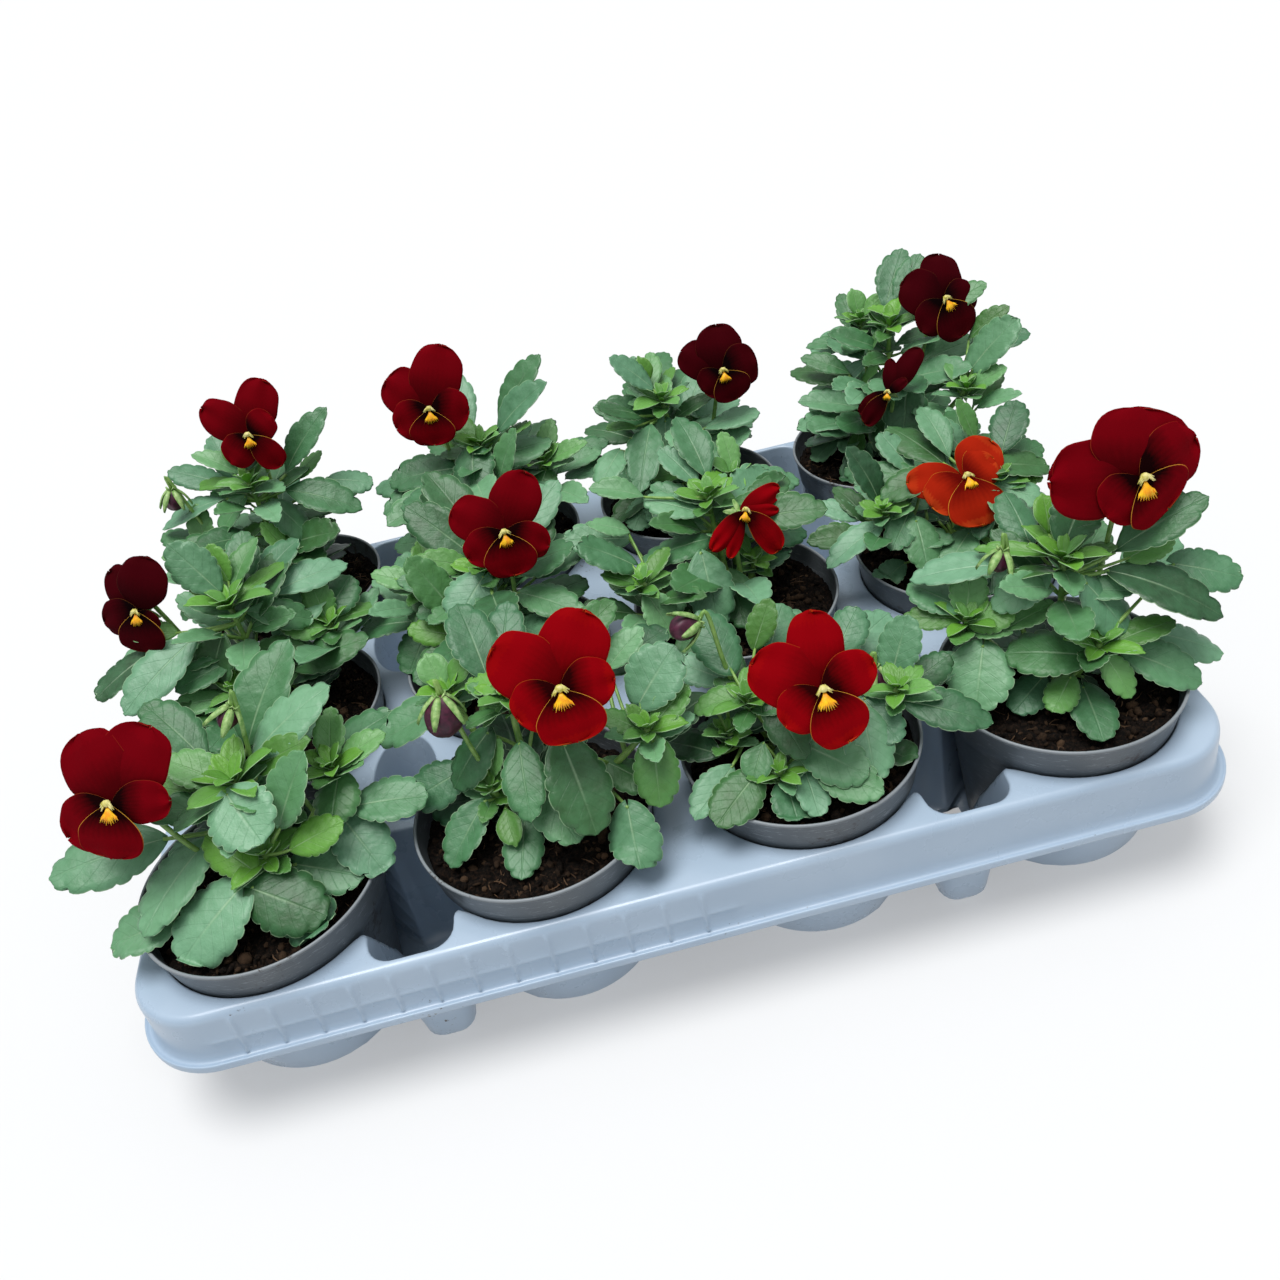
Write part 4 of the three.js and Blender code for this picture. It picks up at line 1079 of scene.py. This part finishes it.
# Each flower's petals in that order: direction, length and half-width as shares of the flower's width.
EVEN = [(52, 0.56, 0.285), (129, 0.56, 0.285), (-23, 0.47, 0.215), (203, 0.47, 0.215), (270, 0.5, 0.275)]
PETALS_OF = {
    "a1": [(56, 0.68, 0.32), (116, 0.64, 0.30), (-3, 0.50, 0.19), (208, 0.54, 0.25), (265, 0.47, 0.28)],
    "a2": [(62, 0.61, 0.27), (134, 0.58, 0.27), (-5, 0.43, 0.20), (202, 0.41, 0.21), (276, 0.42, 0.26)],
    "a3": [(84, 0.57, 0.225), (147, 0.58, 0.25), (14, 0.44, 0.19), (208, 0.40, 0.19), (282, 0.44, 0.24)],
    "a4": [(163, 0.66, 0.28), (72, 0.50, 0.39), (16, 0.52, 0.24), (214, 0.36, 0.22), (304, 0.33, 0.29)],
    "b1": [(132, 0.63, 0.25), (76, 0.62, 0.34), (-42, 0.30, 0.10), (190, 0.56, 0.23), (270, 0.50, 0.30)],
    "b2": [(60, 0.68, 0.27), (142, 0.58, 0.25), (-35, 0.48, 0.19), (206, 0.48, 0.21), (265, 0.48, 0.28)],
    "b3": [(38, 0.74, 0.15), (16, 0.58, 0.10), (256, 0.60, 0.11), (236, 0.66, 0.14), (-35, 0.70, 0.21)],
    "b4": [(166, 0.60, 0.22), (38, 0.60, 0.27), (16, 0.42, 0.22), (205, 0.48, 0.24), (272, 0.56, 0.34)],
    "c1": [(68, 0.70, 0.26), (142, 0.68, 0.23), (32, 0.36, 0.20), (222, 0.44, 0.22), (305, 0.50, 0.18)],
    "c2": [(140, 0.64, 0.30), (68, 0.72, 0.30), (-12, 0.42, 0.25), (202, 0.46, 0.25), (262, 0.42, 0.28)],
    "c3": [(140, 0.58, 0.26), (85, 0.58, 0.30), (8, 0.46, 0.27), (214, 0.36, 0.22), (286, 0.38, 0.26)],
    "c4": EVEN,
    "c4_young": [(60, 0.95, 0.22), (96, 0.66, 0.14), (38, 0.40, 0.12), (216, 0.66, 0.20), (240, 0.74, 0.2)],
}


def petal(bm, shape, width, matrix, rng):
    """One petal: a grid fanned out from a narrow claw to a broad, softly ruffled rim."""
    direction, length, half, widest, shoulders, tip, layer, back, blotch, gilding = shape
    length *= width * rng.uniform(0.96, 1.04)
    half *= width * rng.uniform(0.95, 1.05)
    uv_layer = bm.loops.layers.uv["blade"]
    margin, dark, gilt = (bm.verts.layers.float[name] for name in ("margin", "youth", "tone"))
    made = bmesh.ops.create_grid(bm, x_segments=PETAL_ACROSS, y_segments=PETAL_ALONG, size=1)["verts"]
    for face in {face for vert in made for face in vert.link_faces}:
        for loop in face.loops:
            v = blade_row((loop.vert.co.y + 1) / 2, widest, shoulders, tip)[0]
            loop[uv_layer].uv = ((loop.vert.co.x + 1) / 2, v)
    phase, ruffles = rng.uniform(0, 6), rng.uniform(2.2, 3.6)
    turn = Matrix.Rotation(math.radians(direction - 90 + rng.uniform(-4, 4)), 4, "Z")
    for vert in made:
        u, t = vert.co.x, (vert.co.y + 1) / 2
        v, swell = blade_row(t, widest, shoulders, tip)
        frill = 1 + 0.018 * math.sin(11 * u * v + 5 * t + phase) * max(abs(u), t) ** 6
        x = u * half * swell * frill
        y = length * v * frill
        ruffle = 0.03 * length * math.sin(ruffles * math.pi * u / 2 + phase) * v ** 2
        crown = 0.07 * length * math.sin(math.pi * v) * (1 - u * u)
        vert.co = matrix @ turn @ Vector((x, y, layer + ruffle + crown - back * length * v * v))
        rim = abs(u) > 0.99 or t > 0.99
        near_throat = gilding * max(0.0, 1 - v / 0.75)
        vert[margin] = 0.9 + 0.6 * near_throat if rim else 0.0
        vert[dark] = blotch
        vert[gilt] = min(1.0, 0.15 * gilding + near_throat)


def flower_frame(place, centre, azimuth, elevation, roll):
    """A frame whose Z points out of the flower's face, and whose Y is up along it."""
    turn, rise = math.radians(azimuth), math.radians(elevation)
    forward = Vector((math.sin(turn) * math.cos(rise), -math.cos(turn) * math.cos(rise), math.sin(rise)))
    across = Vector((-forward.y, forward.x, 0)).normalized()
    up = forward.cross(across)
    matrix = Matrix((across, up, forward)).transposed().to_4x4()
    matrix.translation = pot_centre(place) + Vector(centre)
    return matrix @ Matrix.Rotation(math.radians(roll), 4, "Z")


EYE_RAYS = 9


def make_heart(name, matrix, width, rng):
    """The fringed yellow eye at the lip's base, and the pale throat with its tufts above it."""
    bm = new_mesh()
    made = bmesh.ops.create_grid(bm, x_segments=2 * EYE_RAYS, y_segments=4, size=1)["verts"]
    for vert in made:
        u, v = vert.co.x, (vert.co.y + 1) / 2
        tooth = round((u + 1) * EYE_RAYS) % 2
        angle = math.radians(270 + 34 * u * (0.55 + 0.45 * v))
        reach = width * (0.015 + v * (0.15 if tooth else 0.105) * rng.uniform(0.92, 1.08))
        lift = 6.3 + 1.5 * math.sin(2.6 * v) * (1 - u * u)
        vert.co = (reach * math.cos(angle), reach * math.sin(angle), lift)
    bmesh.ops.transform(bm, matrix=matrix, verts=bm.verts)
    finish_piece("flower_eye_" + name, bm, [EYE], thickness=EYE_THICKNESS)

    bm = new_mesh()
    knob = bmesh.ops.create_uvsphere(bm, u_segments=12, v_segments=8, radius=1)["verts"]
    bmesh.ops.scale(bm, verts=knob, vec=(0.035 * width, 0.032 * width, 1.6))
    bmesh.ops.translate(bm, verts=knob, vec=(0, 0.012 * width, 6.7))
    for side in (-1, 1):
        for hair in range(6):
            start = Vector((side * width * 0.012, width * (0.035 - 0.004 * hair), 6.5))
            end = start + Vector((side * width * rng.uniform(0.035, 0.06),
                                  width * rng.uniform(-0.065, -0.03), rng.uniform(0.3, 1.0)))
            sweep_tube(bm, bowed_path(start, end, Vector((0, 0, 0.8)), 2), [0.6, 0.5, 0.2], 5)
    bmesh.ops.transform(bm, matrix=matrix, verts=bm.verts)
    finish_piece("flower_throat_" + name, bm, [HOOD])


def narrow_scale(bm, matrix, length, width, bow):
    """A sepal: a narrow pointed grid that arches along its length."""
    made = bmesh.ops.create_grid(bm, x_segments=2, y_segments=6, size=1)["verts"]
    for vert in made:
        u, v = vert.co.x, (vert.co.y + 1) / 2
        reach = width / 2 * math.sin(math.pi * (0.12 + 0.85 * v)) ** 0.7
        vert.co = matrix @ Vector((u * reach, length * v, -bow * v * v + 0.3 * abs(u) * width))


def make_flower_stem(name, place, matrix, width):
    """The stalk that hooks over behind the flower, with the spur and five sepals where it joins."""
    centre = pot_centre(place)
    head = matrix.translation
    back = -(matrix.to_3x3() @ Vector((0, 0, 1)))
    away = Vector((head.x - centre.x, head.y - centre.y, 0))
    foot = away * STEM_FOOT_SHARE
    if foot.length < STEM_FOOT_LEAST:
        foot = away.normalized() * STEM_FOOT_LEAST
    foot = centre + foot + Vector((0, 0, SOIL - 1))
    hook = head + back * 9 + Vector((0, 0, 1.5))
    corners = [foot, foot + Vector((0, 0, 12)), foot.lerp(hook, 0.55), hook, head + back * 0.8]
    bm = new_mesh()
    path = smooth_route(corners, 18)
    sweep_tube(bm, path, [1.5 - 0.35 * i / (len(path) - 1) for i in range(len(path))], 8)
    spur = bmesh.ops.create_uvsphere(bm, u_segments=10, v_segments=6, radius=1)["verts"]
    bmesh.ops.scale(bm, verts=spur, vec=(1.6, 1.6, 3.4))
    bmesh.ops.transform(bm, matrix=matrix @ Matrix.Translation((0, 0.5, -2.6)), verts=spur)
    finish_piece("flower_stem_" + name, bm, [STEM])

    bm = new_mesh()
    for number in range(5):
        spread = matrix @ Matrix.Translation((0, 0, -1.6)) \
            @ Matrix.Rotation(math.radians(72 * number + 90), 4, "Z") \
            @ Matrix.Rotation(math.radians(-14), 4, "X")
        narrow_scale(bm, spread, 0.2 * width, 3.2, 1.0)
        ear = matrix @ Matrix.Translation((0, 0, -1.8)) \
            @ Matrix.Rotation(math.radians(72 * number + 90), 4, "Z") \
            @ Matrix.Rotation(math.radians(-130), 4, "X")
        narrow_scale(bm, ear, 4.0, 2.4, 0.5)
    finish_piece("sepals_" + name, bm, [SEPAL], thickness=SEPAL_THICKNESS)


def smooth_route(corners, steps):
    """A Catmull-Rom curve through the corners."""
    points = [corners[0] * 2 - corners[1]] + corners + [corners[-1] * 2 - corners[-2]]
    spans = len(corners) - 1
    route = []
    for number in range(steps + 1):
        place = spans * number / steps
        span = min(int(place), spans - 1)
        t = place - span
        p0, p1, p2, p3 = points[span:span + 4]
        route.append(0.5 * (2 * p1 + (p2 - p0) * t + (2 * p0 - 5 * p1 + 4 * p2 - p3) * t ** 2
                            + (3 * p1 - p0 - 3 * p2 + p3) * t ** 3))
    return route


def make_flower(name, rng):
    place, centre, azimuth, elevation, roll, width, variety = FLOWERS[name]
    matrix = flower_frame(place, centre, azimuth, elevation, roll)
    bm = new_mesh()
    for outline, kind in zip(PETALS_OF[name], PETAL_KINDS):
        petal(bm, outline + kind, width, matrix, rng)
    finish_piece("petals_" + name, bm, PETALS[variety], ["flower_" + name],
                 thickness=PETAL_THICKNESS)
    make_heart(name, matrix, width, rng)
    make_flower_stem(name, place, matrix, width)


# Buds: pot, middle from the pot's axis and over the ground, length, and the way the tip points
# (azimuth to the left of +X, elevation).
BUDS = {
    "a1": ("a1", (10, 30, 171), 12, 200, -50), "a2": ("a2", (-27, 5, 161), 21, 250, -72),
    "a3_left": ("a3", (-45, 15, 169), 15, 190, 0), "a3_right": ("a3", (43, 0, 121), 15, 300, -70),
    "a4": ("a4", (-27, 15, 162), 11, 220, -60), "c1": ("c1", (-50, 14, 170), 14, 240, -75),
}


def make_bud(name):
    """A furled, nodding bud: petals rolled to a point, held in sepals on a hooked stalk."""
    place, middle, length, azimuth, elevation = BUDS[name]
    centre = pot_centre(place)
    middle = centre + Vector(middle)
    turn, rise = math.radians(azimuth), math.radians(elevation)
    point = Vector((math.cos(turn) * math.cos(rise), math.sin(turn) * math.cos(rise), math.sin(rise)))
    frame = Matrix.Translation(middle) @ point.to_track_quat("Z", "Y").to_matrix().to_4x4()
    bm = new_mesh()
    body = bmesh.ops.create_uvsphere(bm, u_segments=24, v_segments=16, radius=1)["verts"]
    for vert in body:
        along = vert.co.z
        twist = 1 + 0.09 * math.cos(5 * math.atan2(vert.co.y, vert.co.x) + 2.5 * along)
        slim = 0.39 * twist * (1 + 0.15 * along)
        vert.co = Vector((vert.co.x * slim, vert.co.y * slim, along * 0.5)) * length
    bmesh.ops.transform(bm, matrix=frame, verts=bm.verts)
    finish_piece("bud_petals_" + name, bm, [BUD], ["bud_" + name])

    bm = new_mesh()
    away = Vector((middle.x - centre.x, middle.y - centre.y, 0))
    way_out = max(STEM_FOOT_LEAST, STEM_FOOT_SHARE * away.length)
    foot = centre + away.normalized() * way_out + Vector((0, 0, SOIL - 1))
    top = frame @ Vector((0, 0, -0.46 * length))
    hook = top - point * 5 + Vector((0, 0, 2.5))
    path = smooth_route([foot, foot.lerp(hook, 0.55) + away * 0.08, hook, top], 16)
    sweep_tube(bm, path, [1.35 - 0.35 * i / 16 for i in range(17)], 7)
    finish_piece("bud_stem_" + name, bm, [STEM])

    bm = new_mesh()
    for number in range(5):
        spin = Matrix.Rotation(math.radians(72 * number), 4, "Z")
        sheath = frame @ Matrix.Translation((0, 0, -0.52 * length)) @ spin \
            @ Matrix.Translation((0, 2.4, 0)) @ Matrix.Rotation(math.radians(32), 4, "X")
        narrow_scale(bm, sheath, 0.3 * length + 9, 4.4, -5.5)
        ear = frame @ Matrix.Translation((0, 0, -0.42 * length)) @ spin \
            @ Matrix.Rotation(math.radians(-40), 4, "X")
        narrow_scale(bm, ear, 4.2, 2.6, 0.4)
    finish_piece("bud_sepals_" + name, bm, [SEPAL], thickness=SEPAL_THICKNESS)


# ---------------------------------------------------------------- Studio
def make_camera():
    azimuth, elevation, roll = (math.radians(a) for a in (CAMERA_AZIMUTH, CAMERA_ELEVATION, CAMERA_ROLL))
    back = Vector((math.sin(azimuth) * math.cos(elevation), -math.cos(azimuth) * math.cos(elevation),
                   math.sin(elevation)))
    right = Vector((math.cos(azimuth), math.sin(azimuth), 0))
    up = back.cross(right)
    across = right * math.cos(roll) + up * math.sin(roll)
    upright = up * math.cos(roll) - right * math.sin(roll)
    camera = bpy.data.cameras.new("camera")
    camera.lens, camera.sensor_width, camera.sensor_fit = CAMERA_LENS, SENSOR_WIDTH, "HORIZONTAL"
    camera.clip_start, camera.clip_end = 0.01, 20
    obj = bpy.data.objects.new("camera", camera)
    bpy.context.scene.collection.objects.link(obj)
    matrix = Matrix((across, upright, back)).transposed().to_4x4()
    matrix.translation = PLACE @ (CAMERA_FROM_RIMS + Vector((0, 0, RIM)))
    obj.matrix_world = matrix
    bpy.context.scene.camera = obj


FLOOR_HALF = 60                           # metres
TABLE_GREY, TABLE_GLOW = 0.46, 0.34
SKY_STRENGTH, KEY_ENERGY, KEY_SPREAD = 0.85, 2.7, 36
KEY_DIRECTION = Vector((0.12, 0.03, -1))


def make_studio():
    """A wide pale floor under an even sky, brightest overhead, and one large soft sun from above."""
    bm = bmesh.new()
    bmesh.ops.create_grid(bm, x_segments=1, y_segments=1, size=FLOOR_HALF)
    mesh = bpy.data.meshes.new("floor")
    bm.to_mesh(mesh)
    bm.free()
    floor = bpy.data.objects.new("floor", mesh)
    bpy.context.scene.collection.objects.link(floor)
    # A back-lit white table: it glows a little, so the shadows on it stay pale.
    material, _, shader = new_material("back_lit_table", roughness=1.0)
    shader.inputs["Base Color"].default_value = grey(TABLE_GREY)
    shader.inputs["Specular IOR Level"].default_value = 0.0
    shader.inputs["Emission Color"].default_value = grey(1.0)
    shader.inputs["Emission Strength"].default_value = TABLE_GLOW
    mesh.materials.append(material)

    world = bpy.data.worlds.new("sky")
    bpy.context.scene.world = world
    world.use_nodes = True
    tree = world.node_tree
    sky = next(n for n in tree.nodes if n.type == "BACKGROUND")
    direction = add_node(tree, "ShaderNodeTexCoord").outputs["Generated"]
    height = add_node(tree, "ShaderNodeSeparateXYZ", {0: direction}).outputs["Z"]
    glow = add_node(tree, "ShaderNodeValToRGB", {0: height}, stops=[
        (0.0, linear("8c949c")), (0.3, linear("98a0a8")), (0.6, linear("ccd3da")),
        (1.0, linear("ffffff"))])
    tree.links.new(glow.outputs["Color"], sky.inputs["Color"])
    sky.inputs["Strength"].default_value = SKY_STRENGTH
    lamp = bpy.data.lights.new("key", "SUN")
    lamp.energy, lamp.angle = KEY_ENERGY, math.radians(KEY_SPREAD)
    obj = bpy.data.objects.new("key", lamp)
    obj.rotation_euler = KEY_DIRECTION.to_track_quat("-Z", "Y").to_euler()
    bpy.context.scene.collection.objects.link(obj)
    bpy.context.scene.view_settings.view_transform = "Standard"


# ---------------------------------------------------------------- The whole planter
PEAT_SEED, PLANT_SEED, FLOWER_SEED = 100, 200, 300

make_tray()
for number, place in enumerate(PLACES):
    make_pot(place)
    make_peat(place, random.Random(PEAT_SEED + number))
    make_plant(place, random.Random(PLANT_SEED + number))
for number, name in enumerate(FLOWERS):
    make_flower(name, random.Random(FLOWER_SEED + number))
for name in BUDS:
    make_bud(name)
make_camera()
make_studio()
bpy.data.meshes.remove(SCRATCH)
